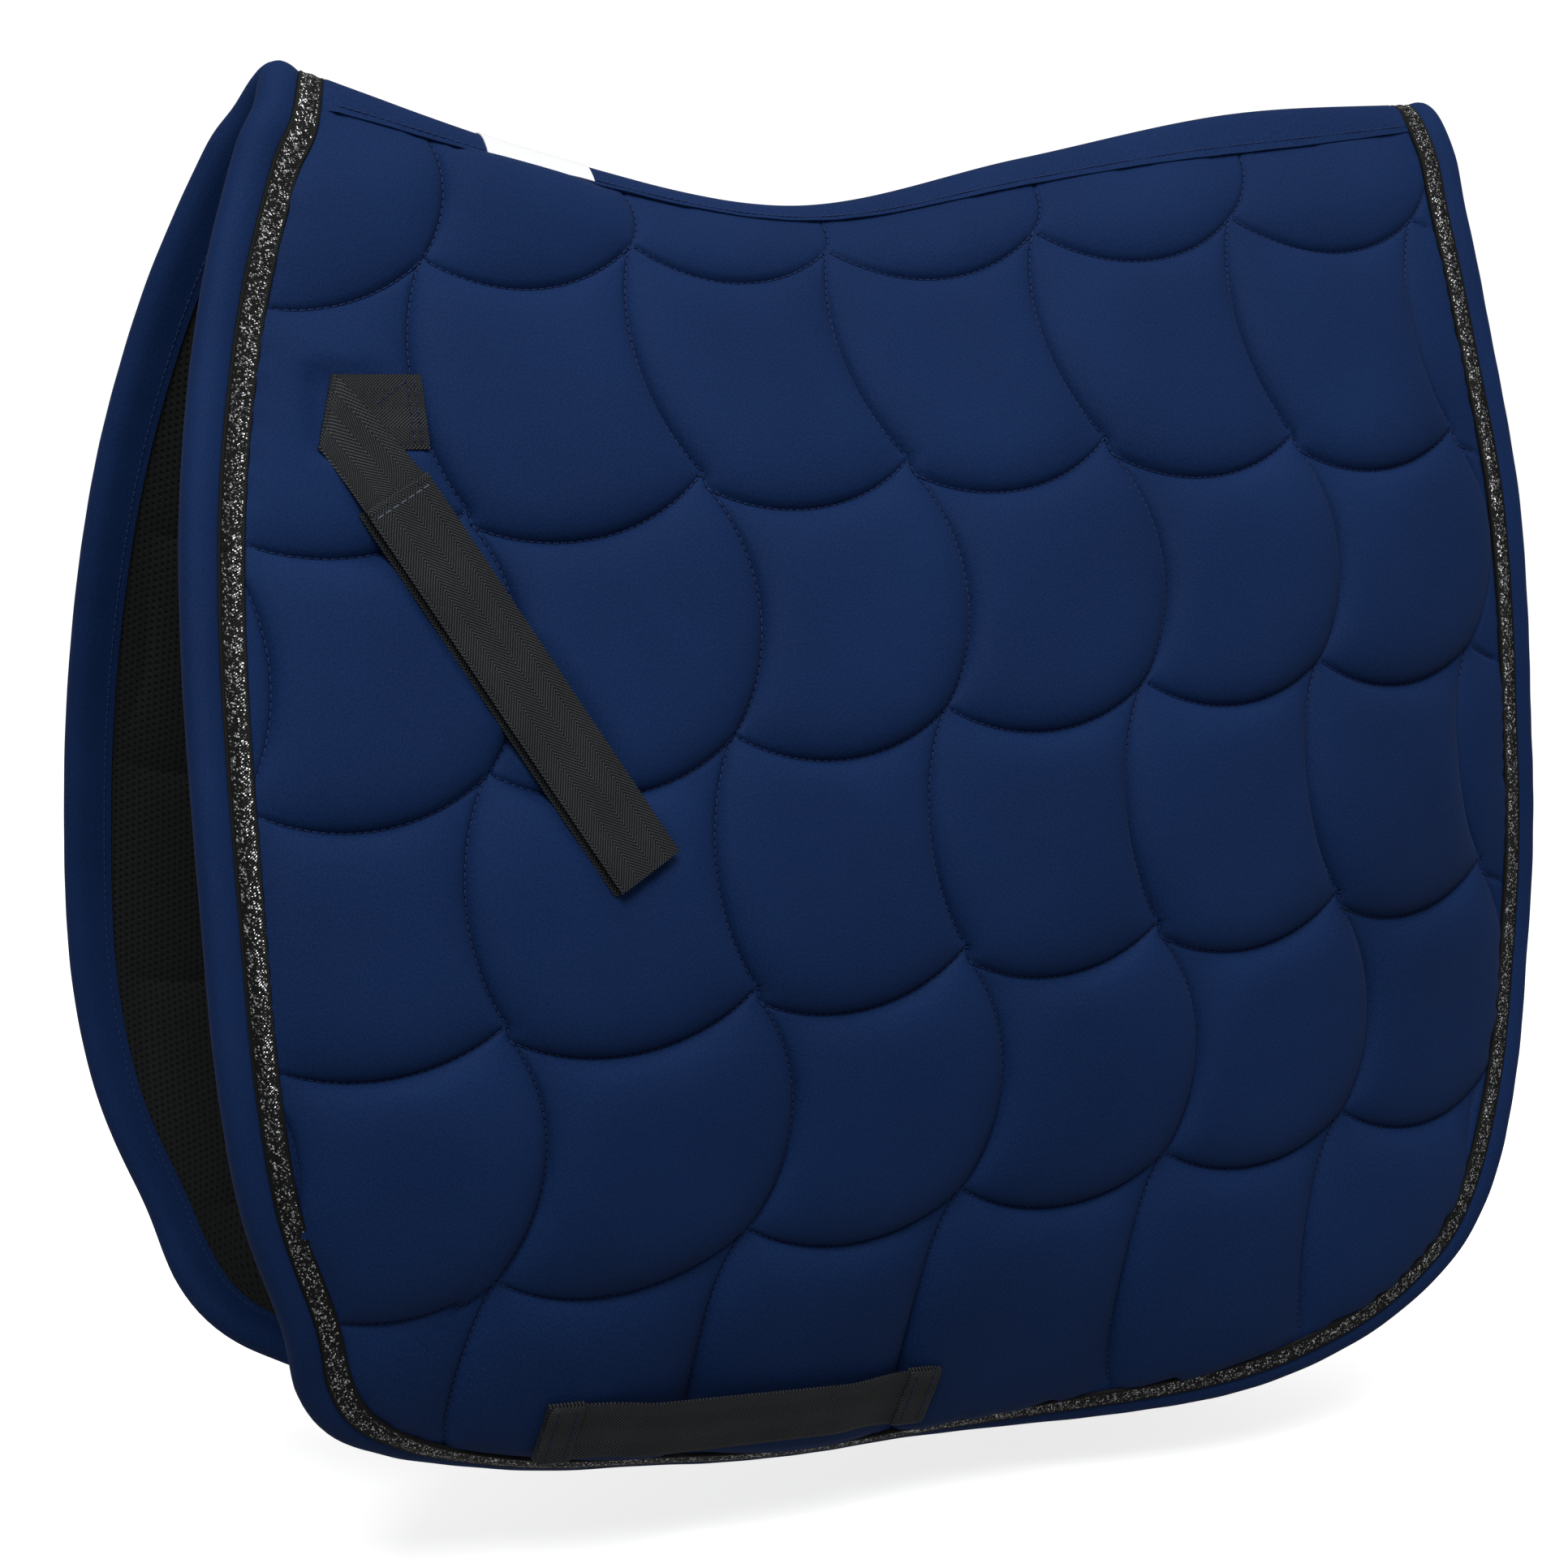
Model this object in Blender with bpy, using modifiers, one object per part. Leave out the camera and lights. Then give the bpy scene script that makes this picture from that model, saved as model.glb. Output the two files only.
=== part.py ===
"""Quilted dressage saddle pad, built from its separate sewn pieces.

The frame is in metres with +Z up. The origin is under the spine seam at its lowest point, where the horse's
back holds the pad. +X runs to the horse's tail and -Y to its left side, so the pad is the same on both sides
of the plane Y = 0. Every sheet of a side follows one curved surface, at its own depth, and each webbing piece
lies on that surface or stands off it by a named clearance.
"""
import math
from functools import lru_cache

import bmesh
import bpy
from mathutils import Matrix, Vector

# ---- Driving dimensions (metres) ----
SPINE_FRONT_X = -0.229       # front end of the spine seam
SPINE_REAR_X = 0.347         # rear end of the spine seam
PANEL_DROP = 0.523           # from the origin down to the lowest point of the hem
FLARE = 1.0                  # how widely the sides stand apart, as a factor on the section below
ROOF_RADIUS = 0.030          # depth over which the top rounds over into the side

COVER_THICKNESS = 0.0012
WADDING_THICKNESS = 0.0080
LINING_THICKNESS = 0.0012
LOFT = 0.0030                # how far the quilted cover stands proud of its seams, on average
LAYER_GAP = 0.0004           # between sheets that touch

BINDING_WIDTH = 0.0105       # how far the binding folds over the cover
BINDING_UNDER = 0.0160       # and how far under the lining
BINDING_THICKNESS = 0.0010
BINDING_EDGE = 0.0010        # between the binding's fold and the sheets' cut edge
BRAID_WIDTH = 0.0105         # the braid lies along the binding's inner edge
BRAID_THICKNESS = 0.0016
BRAID_GAP = 0.0010           # to the binding's inner edge

SEAM_HALF_GAP = 0.0052       # from the middle plane to the nearest sheet of a side
FOLD_CLEARANCE = 0.0040      # what the sides need at the seam to fold together a little
TAPE_THICKNESS = 0.0020
SEAM_DEPTH = 0.0105          # of the bound seam allowance under the spine tape
SEAM_THICKNESS = 0.0015
LABEL_FRONT_X = -0.144
LABEL_LENGTH = 0.047
LABEL_THICKNESS = 0.0008

WEBBING_WIDTH = 0.030
WEBBING_THICKNESS = 0.0015
TAPE_WIDTH = 0.026           # of the hook and loop tapes on the strap
TAPE_PILE = 0.0010
ANCHOR_X = -0.2125           # middle of the billet strap's sewn anchor
ANCHOR_Z = -0.0755
ANCHOR_LENGTH = 0.045
ANCHOR_CORNER = 0.004        # the anchor's upper front corner, folded back
STUB_INSET = 0.0108          # from the anchor's front end to the middle of the fold that leads to the strap
STUB_DROP = 0.0052           # from the anchor's middle down to the start of that fold
FOLD_LENGTH = 0.030          # of the folded webbing that leads from the anchor to the strap
STRAP_LENGTH = 0.176
STRAP_LEAN = math.radians(30)    # of the strap, from straight down towards the tail
STRAP_GAP = 0.0015           # between the anchor's fold and the strap's sewn end

KEEPER_FRONT_X = -0.154
KEEPER_LENGTH = 0.191
KEEPER_FOLD = 0.016          # length of each folded and sewn end
KEEPER_RISE = 0.030          # over which the band rises off the pad behind each fold
KEEPER_BOW = 0.0105          # room under the band for the girth
KEEPER_ABOVE_HEM = 0.022     # from the hem to the middle of the band's lower edge
KEEPER_TILT = math.radians(2.7)  # of the band, down towards the tail

TOUCH_GAP = 0.0003           # between touching pieces
TRIM_GAP = 0.0007            # between the sheets and the trim that follows their edge

# ---- Outlines, as parts of the dimensions above ----
# Height of the spine seam's top line, at even steps from the front end to the rear end
SPINE_HEIGHTS = (0.0585, 0.0265, 0.0095, 0.0335, 0.0580, 0.0680)
# Half width of the pad at each height, as a share of the drop, for four sections from front to rear
SECTION_HEIGHTS = (0.1185, -0.0344, -0.2256, -0.4551, -0.6463, -0.8375, -1.0096)
SECTION_WIDTHS = (
    (-0.280, (0.012, 0.039, 0.068, 0.097, 0.105, 0.088, 0.056)),
    (0.030, (0.004, 0.030, 0.076, 0.106, 0.111, 0.097, 0.058)),
    (0.210, (0.005, 0.043, 0.080, 0.101, 0.106, 0.103, 0.094)),
    (0.360, (0.018, 0.045, 0.066, 0.074, 0.078, 0.093, 0.098)),
)
# Cut edge of a side, from the front end of the spine down, round the hem and up to the rear end:
# (x beyond the nearer spine end, height as a share of the drop)
FRONT_EDGE = ((0.0, 0.110), (-0.020, 0.048), (-0.040, -0.056), (-0.055, -0.182), (-0.062, -0.315),
              (-0.063, -0.469), (-0.059, -0.622), (-0.045, -0.745), (-0.013, -0.865))
HEM = ((-0.013, -0.865), (0.022, -0.920), (0.077, -0.962), (0.159, -0.990), (0.249, -1.0), (-0.237, -0.992),
       (-0.157, -0.976), (-0.101, -0.947), (-0.060, -0.911), (-0.031, -0.864))
REAR_EDGE = ((-0.031, -0.864), (-0.005, -0.774), (0.010, -0.677), (0.017, -0.555), (0.014, -0.411),
             (0.008, -0.230), (0.001, -0.096), (-0.002, 0.019), (0.0, 0.126))
HEM_FRONT_POINTS = 5         # the hem's points that are placed from the spine's front end

ACROSS = round((SPINE_REAR_X - SPINE_FRONT_X) / 0.052)  # cells of a sheet's inner field, along the pad
DOWN = round(PANEL_DROP / 0.0436)                       # and down the side
ROW_GROWTH = 1.5             # how much closer together the rows are at the tightly curved top
TOP_STEP = 0.0005            # how finely the sheets' top edge is found
REACH_STEP = 0.0002          # how finely the reach of a tape over the ridge is found
CURVE_STEPS = 12             # points on each stretch of a smooth outline
RIDGE_STEPS = 20             # cells along the spine tape and the seam under it
BAND_SAMPLES = 10            # places along a webbing piece at which the pad's bulge is measured
SIDES = {"left": -1, "right": 1}

COVER_TOP = LOFT
WADDING_TOP = COVER_TOP - COVER_THICKNESS - LAYER_GAP
LINING_TOP = WADDING_TOP - WADDING_THICKNESS - LAYER_GAP
LINING_BOTTOM = LINING_TOP - LINING_THICKNESS
FOLD_AXIS_Z = max(SPINE_HEIGHTS) + LOFT + 0.002


# ---- Curves and the shared surface ----
def hermite(xs, ys, x):
    """Value at x of a smooth curve through (xs, ys), straight beyond its ends."""
    n = len(xs)
    if xs[-1] < xs[0]:
        xs, ys = xs[::-1], ys[::-1]
    slopes = [(ys[min(i + 1, n - 1)] - ys[max(i - 1, 0)]) / (xs[min(i + 1, n - 1)] - xs[max(i - 1, 0)])
              for i in range(n)]
    if x <= xs[0]:
        return ys[0] + slopes[0] * (x - xs[0])
    if x >= xs[-1]:
        return ys[-1] + slopes[-1] * (x - xs[-1])
    i = max(k for k in range(n - 1) if xs[k] <= x)
    h = xs[i + 1] - xs[i]
    t = (x - xs[i]) / h
    return ((2 * t ** 3 - 3 * t ** 2 + 1) * ys[i] + (t ** 3 - 2 * t ** 2 + t) * h * slopes[i]
            + (3 * t ** 2 - 2 * t ** 3) * ys[i + 1] + (t ** 3 - t ** 2) * h * slopes[i + 1])


@lru_cache(maxsize=None)
def ridge_height(x):
    """Height of the spine seam's line at x."""
    steps = len(SPINE_HEIGHTS) - 1
    xs = [SPINE_FRONT_X + (SPINE_REAR_X - SPINE_FRONT_X) * i / steps for i in range(steps + 1)]
    return hermite(xs, SPINE_HEIGHTS, x)


@lru_cache(maxsize=None)
def half_width(x, z):
    """Half the pad's width at x and height z, from the sections."""
    stations = [station for station, _ in SECTION_WIDTHS]
    widths = [hermite(SECTION_HEIGHTS, widths, z / PANEL_DROP) for _, widths in SECTION_WIDTHS]
    return hermite(stations, widths, x) * FLARE


def surface(side, x, t):
    """Point of the seam-level surface at x, a way t down from the ridge."""
    if t < ROOF_RADIUS * math.pi / 2:
        drop = ROOF_RADIUS * (1 - math.cos(t / ROOF_RADIUS))
        spread = math.sin(t / ROOF_RADIUS)
    else:
        drop = ROOF_RADIUS * (1 - math.pi / 2) + t
        spread = 1.0
    z = ridge_height(x) - drop
    return Vector((x, side * half_width(x, z) * spread, z))


def way_down(x, z):
    """The way t down from the ridge at which the surface has height z."""
    drop = ridge_height(x) - z
    if drop < ROOF_RADIUS:
        return ROOF_RADIUS * math.acos(1 - max(drop, 0.0) / ROOF_RADIUS)
    return drop + ROOF_RADIUS * (math.pi / 2 - 1)


def outward(side, x, t):
    """Unit normal of the surface, away from the horse."""
    step = 0.0005
    along = surface(side, x + step, t) - surface(side, x - step, t)
    down = surface(side, x, t + step) - surface(side, x, max(t - step, 0.0))
    return (along.cross(down) * side).normalized()


def lifted(side, x, t, height):
    """Point that stands height off the surface."""
    return surface(side, x, t) + outward(side, x, t) * height


@lru_cache(maxsize=None)
def top_edge(x):
    """The way down at which every sheet of a side is clear of the middle plane."""
    t = 0.0
    while lifted(1, x, t, LINING_BOTTOM).y < SEAM_HALF_GAP:
        t += TOP_STEP
    return t


# ---- The flat pattern of a side ----
def row_share(j):
    """Share of the way down a side at row j."""
    return (j / DOWN) ** ROW_GROWTH


def smooth_path(points, shares):
    """Points at the given shares of the length of a smooth curve through the given (x, t) points."""
    dense = []
    for i in range(len(points) - 1):
        before, start, end, after = (points[max(i - 1, 0)], points[i], points[i + 1],
                                     points[min(i + 2, len(points) - 1)])
        for step in range(CURVE_STEPS):
            u = step / CURVE_STEPS
            dense.append(tuple(0.5 * (2 * b + (c - a) * u + (2 * a - 5 * b + 4 * c - d) * u * u
                                      + (3 * b - a - 3 * c + d) * u ** 3)
                               for a, b, c, d in zip(before, start, end, after)))
    dense.append(points[-1])
    lengths = [0.0]
    for p, q in zip(dense, dense[1:]):
        lengths.append(lengths[-1] + math.dist(p, q))
    path = []
    for share in shares:
        target = lengths[-1] * share
        i = min(max(j for j in range(len(dense)) if lengths[j] <= target + 1e-9), len(dense) - 2)
        u = (target - lengths[i]) / (lengths[i + 1] - lengths[i])
        path.append(tuple(a + (b - a) * u for a, b in zip(dense[i], dense[i + 1])))
    return path


def edge_points(points, placed_from):
    """The (x, t) of outline points that are given from the ends in placed_from."""
    placed = []
    for (dx, share), end in zip(points, placed_from):
        placed.append((end + dx, way_down(end + dx, share * PANEL_DROP)))
    return placed


def cut_edge():
    """The sheets' cut edge from the spine's front end to its rear end, as (x, t) points."""
    front = edge_points(FRONT_EDGE, [SPINE_FRONT_X] * len(FRONT_EDGE))
    rear = edge_points(REAR_EDGE, [SPINE_REAR_X] * len(REAR_EDGE))
    hem_ends = [SPINE_FRONT_X] * HEM_FRONT_POINTS + [SPINE_REAR_X] * (len(HEM) - HEM_FRONT_POINTS)
    hem = edge_points(HEM, hem_ends)
    front[0] = (SPINE_FRONT_X, top_edge(SPINE_FRONT_X))
    rear[-1] = (SPINE_REAR_X, top_edge(SPINE_REAR_X))
    rows = [row_share(j) for j in range(DOWN + 1)]
    columns = [i / ACROSS for i in range(ACROSS + 1)]
    upward = [1 - share for share in reversed(rows)]
    return smooth_path(front, rows)[:-1] + smooth_path(hem, columns)[:-1] + smooth_path(rear, upward)


def inset_edge(edge, distance):
    """The edge moved in by a distance; its two ends stay on the sheets' top edge."""
    moved = []
    for k, point in enumerate(edge):
        before, after = edge[max(k - 1, 0)], edge[min(k + 1, len(edge) - 1)]
        dx, dt = after[0] - before[0], after[1] - before[1]
        size = math.hypot(dx, dt)
        x, t = point[0] + dt / size * distance, point[1] - dx / size * distance
        if k in (0, len(edge) - 1):
            x = point[0] + (distance if k == 0 else -distance)
            t = top_edge(x)
        moved.append((x, t))
    return moved


def field_point(ring, i, j):
    """Point of the field inside a ring, i cells along and j cells down (a Coons patch)."""
    u, v = i / ACROSS, row_share(j)
    front, hem, rear = ring[:DOWN + 1], ring[DOWN:DOWN + ACROSS + 1], ring[DOWN + ACROSS:][::-1]
    x_top = front[0][0] + (rear[0][0] - front[0][0]) * u
    top = (x_top, top_edge(x_top))
    return tuple((1 - v) * top[c] + v * hem[i][c] + (1 - u) * front[j][c] + u * rear[j][c]
                 - (1 - u) * (1 - v) * front[0][c] - u * (1 - v) * rear[0][c]
                 - (1 - u) * v * hem[0][c] - u * v * hem[-1][c] for c in (0, 1))


# ---- Scene helpers ----
def clear_scene():
    """Remove every object of the start-up scene."""
    for obj in list(bpy.data.objects):
        bpy.data.objects.remove(obj, do_unlink=True)


def new_collection(name):
    """A collection of the scene."""
    collection = bpy.data.collections.new(name)
    bpy.context.scene.collection.children.link(collection)
    return collection


def new_material(name, colour, roughness, metallic=0.0):
    """A Principled material."""
    material = bpy.data.materials.new(name)
    material.use_nodes = True
    shader = material.node_tree.nodes["Principled BSDF"]
    shader.inputs["Base Color"].default_value = (*colour, 1.0)
    shader.inputs["Roughness"].default_value = roughness
    shader.inputs["Metallic"].default_value = metallic
    material.diffuse_color = (*colour, 1.0)
    return material


def add_object(name, data, material, parent):
    """Link an object, give it its material, and hang it on its parent where it stands."""
    obj = bpy.data.objects.new(name, data)
    data.materials.append(material)
    COLLECTION.objects.link(obj)
    if parent is not None:
        obj.parent = parent
        obj.matrix_parent_inverse = parent.matrix_world.inverted()
    return obj


def add_pivot(name, place, parent=None):
    """An empty on a joint's axis."""
    pivot = bpy.data.objects.new(name, None)
    pivot.empty_display_size = 0.03
    pivot.location = place
    COLLECTION.objects.link(pivot)
    if parent is not None:
        pivot.parent = parent
        pivot.matrix_parent_inverse = parent.matrix_world.inverted()
    bpy.context.view_layer.update()
    return pivot


def finish_mesh(name, bm):
    """Turn a bmesh into a mesh."""
    mesh = bpy.data.meshes.new(name)
    bm.to_mesh(mesh)
    bm.free()
    return mesh


def solidify(obj, thickness, offset):
    """Give a sheet its thickness; offset -1 is all inwards, 0 is half each way."""
    modifier = obj.modifiers.new("Thickness", "SOLIDIFY")
    modifier.thickness = thickness
    modifier.offset = offset
    modifier.use_even_offset = True


# ---- Pieces ----
def panel_sheet(name, side, top, thickness, rings, material, parent):
    """One sheet of a side: a grid field with two rings of cells extruded to the cut edge."""
    edge, first_ring, second_ring = rings
    bm = bmesh.new()
    bmesh.ops.create_grid(bm, x_segments=ACROSS, y_segments=DOWN, size=1.0)
    border = []
    for vert in bm.verts:
        i, j = round((vert.co.x + 1) / 2 * ACROSS), round((1 - vert.co.y) / 2 * DOWN)
        vert.co = Vector((*field_point(second_ring, i, j), 0.0))
        if i in (0, ACROSS) or j == DOWN:
            border.append(vert)
    ring_edges = [e for e in bm.edges if e.is_boundary and all(v in border for v in e.verts)]
    for inner, outer in ((second_ring, first_ring), (first_ring, edge)):
        grown = bmesh.ops.extrude_edge_only(bm, edges=ring_edges)["geom"]
        for vert in (g for g in grown if isinstance(g, bmesh.types.BMVert)):
            k = min(range(len(inner)), key=lambda n: math.dist(inner[n], vert.co.xy))
            vert.co = Vector((*outer[k], 0.0))
        ring_edges = [g for g in grown if isinstance(g, bmesh.types.BMEdge)]
    for vert in bm.verts:
        vert.co = lifted(side, vert.co.x, vert.co.y, top)
    middle = bm.faces[:][len(bm.faces) // 2]
    bmesh.ops.recalc_face_normals(bm, faces=bm.faces)
    middle.normal_update()
    if middle.normal.y * side < 0:
        bmesh.ops.reverse_faces(bm, faces=bm.faces)
    obj = add_object(name, finish_mesh(name, bm), material, parent)
    solidify(obj, thickness, -1.0)
    obj.data.shade_smooth()
    return obj


def loft(name, sections, material, parent):
    """A closed solid through sections of equal point counts, with flat ends."""
    bm = bmesh.new()
    rows = [[bm.verts.new(point) for point in section] for section in sections]
    for low, high in zip(rows, rows[1:]):
        for k in range(len(low)):
            m = (k + 1) % len(low)
            bm.faces.new((low[k], low[m], high[m], high[k]))
    bm.faces.new(rows[0][::-1])
    bm.faces.new(rows[-1])
    bmesh.ops.recalc_face_normals(bm, faces=bm.faces)
    return add_object(name, finish_mesh(name, bm), material, parent)


def edge_binding(name, side, rings, material, parent):
    """The tape that folds round the cut edge, over the cover and under the lining."""
    sections = []
    over, under = COVER_TOP + TRIM_GAP, LINING_BOTTOM - TRIM_GAP
    under_share = (BINDING_UNDER - BINDING_WIDTH) / (BRAID_WIDTH + BRAID_GAP)
    for (ex, et), (rx, rt), (sx, st) in zip(*rings):
        out = (surface(side, ex, et) - surface(side, rx, rt)).normalized()

        def at_leg(height):
            return lifted(side, rx, rt, height)

        def at_hem(height):
            return at_leg(height).lerp(lifted(side, sx, st, height), under_share)

        def at_edge(height, reach):
            return lifted(side, ex, et, height) + out * reach

        inner, outer = BINDING_EDGE, BINDING_EDGE + BINDING_THICKNESS
        inside, outside = under - BINDING_THICKNESS, over + BINDING_THICKNESS
        sections.append((at_leg(over), at_edge(over, inner), at_edge(under, inner), at_leg(under), at_hem(under),
                         at_hem(inside), at_leg(inside), at_edge(inside, outer), at_edge(outside, outer),
                         at_leg(outside)))
    return loft(name, sections, material, parent)


def edge_braid(name, side, rings, material, parent):
    """The flat braid that lies on the cover along the binding."""
    sections = []
    low, high = COVER_TOP + TRIM_GAP, COVER_TOP + TRIM_GAP + BRAID_THICKNESS
    near = BRAID_GAP / (BRAID_WIDTH + BRAID_GAP)
    for (ax, at), (bx, bt) in zip(rings[1], rings[2]):
        corners = []
        for share, height in ((near, low), (1, low), (1, high), (near, high)):
            corners.append(lifted(side, ax, at, height).lerp(lifted(side, bx, bt, height), share))
        sections.append(corners)
    return loft(name, sections, material, parent)


@lru_cache(maxsize=None)
def tape_reach(x, height):
    """The way down from the ridge that a tape over it covers: up to the cover, less the folding clearance."""
    half_width_there = lifted(1, x, top_edge(x), COVER_TOP).y - FOLD_CLEARANCE
    reach = 0.0
    while lifted(1, x, reach, height).y < half_width_there:
        reach += REACH_STEP
    return reach


def spine_strip(name, front_x, rear_x, steps, height, thickness, material):
    """A tape over the ridge, as wide as the gap between the two covers allows."""
    bm = bmesh.new()
    bmesh.ops.create_grid(bm, x_segments=steps, y_segments=4, size=1.0)
    for vert in bm.verts:
        x = front_x + (rear_x - front_x) * (vert.co.x + 1) / 2
        reach = tape_reach(x, height)
        side = 1 if vert.co.y >= 0 else -1
        place = lifted(side, x, abs(vert.co.y) * reach, height)
        if reach * abs(vert.co.y) < REACH_STEP:
            place.y = 0.0
        vert.co = place
    bmesh.ops.recalc_face_normals(bm, faces=bm.faces)
    if sum(face.normal.z for face in bm.faces) < 0:
        bmesh.ops.reverse_faces(bm, faces=bm.faces)
    obj = add_object(name, finish_mesh(name, bm), material, None)
    solidify(obj, thickness, -1.0)
    return obj


def tape_underside(x):
    """Height of the spine tape's underside on the middle plane, where the roof's slope makes it thicker."""
    ridge = lifted(1, x, 0.0, COVER_TOP)
    beside = lifted(1, x, tape_reach(x, COVER_TOP) / 2, COVER_TOP)
    return ridge.z - TAPE_THICKNESS * math.hypot(beside.y, ridge.z - beside.z) / beside.y


def spine_seam(name, material):
    """The joined seam allowance, a narrow web under the spine tape."""
    sections = []
    for i in range(RIDGE_STEPS + 1):
        x = SPINE_FRONT_X + (SPINE_REAR_X - SPINE_FRONT_X) * i / RIDGE_STEPS
        top, half = tape_underside(x) - 2 * LAYER_GAP, SEAM_THICKNESS / 2
        sections.append([Vector((x, y, z)) for y, z in ((-half, top), (half, top), (half, top - SEAM_DEPTH),
                                                        (-half, top - SEAM_DEPTH))])
    return loft(name, sections, material, None)


def place_on(side, x, z, height, turn=0.0):
    """Frame on the surface: local X level along the pad, or turned down by turn; local Z outward."""
    t = way_down(x, z)
    normal = outward(side, x, t)
    along = (Vector((0, 0, -side)).cross(normal)).normalized()
    down = normal.cross(along) * side
    axis = along * math.cos(turn) + down * math.sin(turn)
    frame = Matrix((axis, normal.cross(axis), normal)).transposed().to_4x4()
    frame.translation = surface(side, x, t) + normal * height
    return frame


def flat_piece(name, outline, thickness, frame, material, parent):
    """A flat cut piece: a filled outline in the frame's XY plane, thickness along its Z."""
    curve = bpy.data.curves.new(name, "CURVE")
    curve.dimensions = "2D"
    curve.fill_mode = "BOTH"
    curve.extrude = thickness / 2
    spline = curve.splines.new("POLY")
    spline.points.add(len(outline) - 1)
    for point, (x, y) in zip(spline.points, outline):
        point.co = (x, y, 0.0, 1.0)
    spline.use_cyclic_u = True
    obj = add_object(name, curve, material, parent)
    obj.matrix_basis = frame @ Matrix.Translation((0, 0, thickness / 2))
    return obj


def box_piece(name, size, frame, material, parent):
    """A straight length of webbing or tape: its corner edge starts at the frame, along local X."""
    bm = bmesh.new()
    bmesh.ops.create_cube(bm, size=1.0)
    bmesh.ops.scale(bm, vec=size, verts=bm.verts)
    bmesh.ops.translate(bm, vec=(size[0] / 2, 0, size[2] / 2), verts=bm.verts)
    obj = add_object(name, finish_mesh(name, bm), material, parent)
    obj.matrix_basis = frame
    return obj


def billet_anchor(name, side, material, parent):
    """The sewn webbing with its corner fold and the stub that leads down to the strap."""
    half_l, half_w = ANCHOR_LENGTH / 2, WEBBING_WIDTH / 2
    lean = (math.sin(STRAP_LEAN), -math.cos(STRAP_LEAN))
    square = (-lean[1], lean[0])
    start = (-half_l + STUB_INSET, -STUB_DROP)
    end = tuple(s + FOLD_LENGTH * d for s, d in zip(start, lean))
    left = tuple(e - square_part * half_w for e, square_part in zip(end, square))
    right = tuple(e + square_part * half_w for e, square_part in zip(end, square))
    outline = [(half_l, half_w), (ANCHOR_CORNER - half_l, half_w), (-half_l, -half_w), left, right,
               (half_l, -half_w)]
    mirrored = [(x, -side * y) for x, y in outline]
    frame = place_on(side, ANCHOR_X, ANCHOR_Z, COVER_TOP + 2 * LAYER_GAP)
    return flat_piece(name, mirrored, WEBBING_THICKNESS, frame, material, parent), end


def strap_frame(side, stub_end):
    """Frame at the strap's sewn end: X down the strap, Z outward, clear of the bulging side."""
    down = math.cos(STRAP_LEAN)
    start_x = ANCHOR_X + stub_end[0] + STRAP_GAP * math.sin(STRAP_LEAN)
    start_z = ANCHOR_Z + (stub_end[1] - STRAP_GAP * down) * slope_share(ANCHOR_X, ANCHOR_Z)
    end_x = start_x + STRAP_LENGTH * math.sin(STRAP_LEAN)
    end_z = start_z - STRAP_LENGTH * down * slope_share(start_x, start_z)
    start = lifted(side, start_x, way_down(start_x, start_z), COVER_TOP)
    end = lifted(side, end_x, way_down(end_x, end_z), COVER_TOP)
    axis = (end - start).normalized()
    normal = outward(side, (start_x + end_x) / 2, way_down((start_x + end_x) / 2, (start_z + end_z) / 2))
    normal = (normal - axis * normal.dot(axis)).normalized()
    across = normal.cross(axis)
    bulge = 0.0
    for i in range(BAND_SAMPLES + 1):
        share = i / BAND_SAMPLES
        x, z = start_x + (end_x - start_x) * share, start_z + (end_z - start_z) * share
        for edge in (-0.5, 0.5):
            shift = across * (edge * WEBBING_WIDTH)
            point = lifted(side, x + shift.x, way_down(x + shift.x, z + shift.z), COVER_TOP)
            bulge = max(bulge, (point - start).dot(normal))
    frame = Matrix((axis, across, normal)).transposed().to_4x4()
    frame.translation = start + normal * (bulge + 2 * TOUCH_GAP)
    return frame


def slope_share(x, z):
    """Height lost for each unit of way along the side at (x, z)."""
    t = way_down(x, z)
    step = surface(1, x, t + 0.01) - surface(1, x, t)
    return -step.z / step.length


def billet_strap(side_name, side, panel, stub_end):
    """The doubled strap: the under strap lifts off the pad, and the top strap peels off it."""
    frame = strap_frame(side, stub_end)
    stack = 2 * (WEBBING_THICKNESS + TAPE_PILE) + 3 * TOUCH_GAP
    hinge = frame @ Vector((0, 0, stack))
    lift = add_pivot(f"{side_name}_strap_lift", hinge, panel)
    peel = add_pivot(f"{side_name}_strap_peel", hinge, lift)
    height = 0.0
    layers = (("under_strap", WEBBING_WIDTH, WEBBING_THICKNESS, WEBBING, lift),
              ("loop_tape", TAPE_WIDTH, TAPE_PILE, LOOP, lift),
              ("hook_tape", TAPE_WIDTH, TAPE_PILE, HOOK, peel),
              ("top_strap", WEBBING_WIDTH, WEBBING_THICKNESS, WEBBING, peel))
    for name, width, thickness, material, parent in layers:
        box_piece(f"{side_name}_{name}", (STRAP_LENGTH, width, thickness),
                  frame @ Matrix.Translation((0, 0, height)), material, parent)
        height += thickness + TOUCH_GAP


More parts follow.
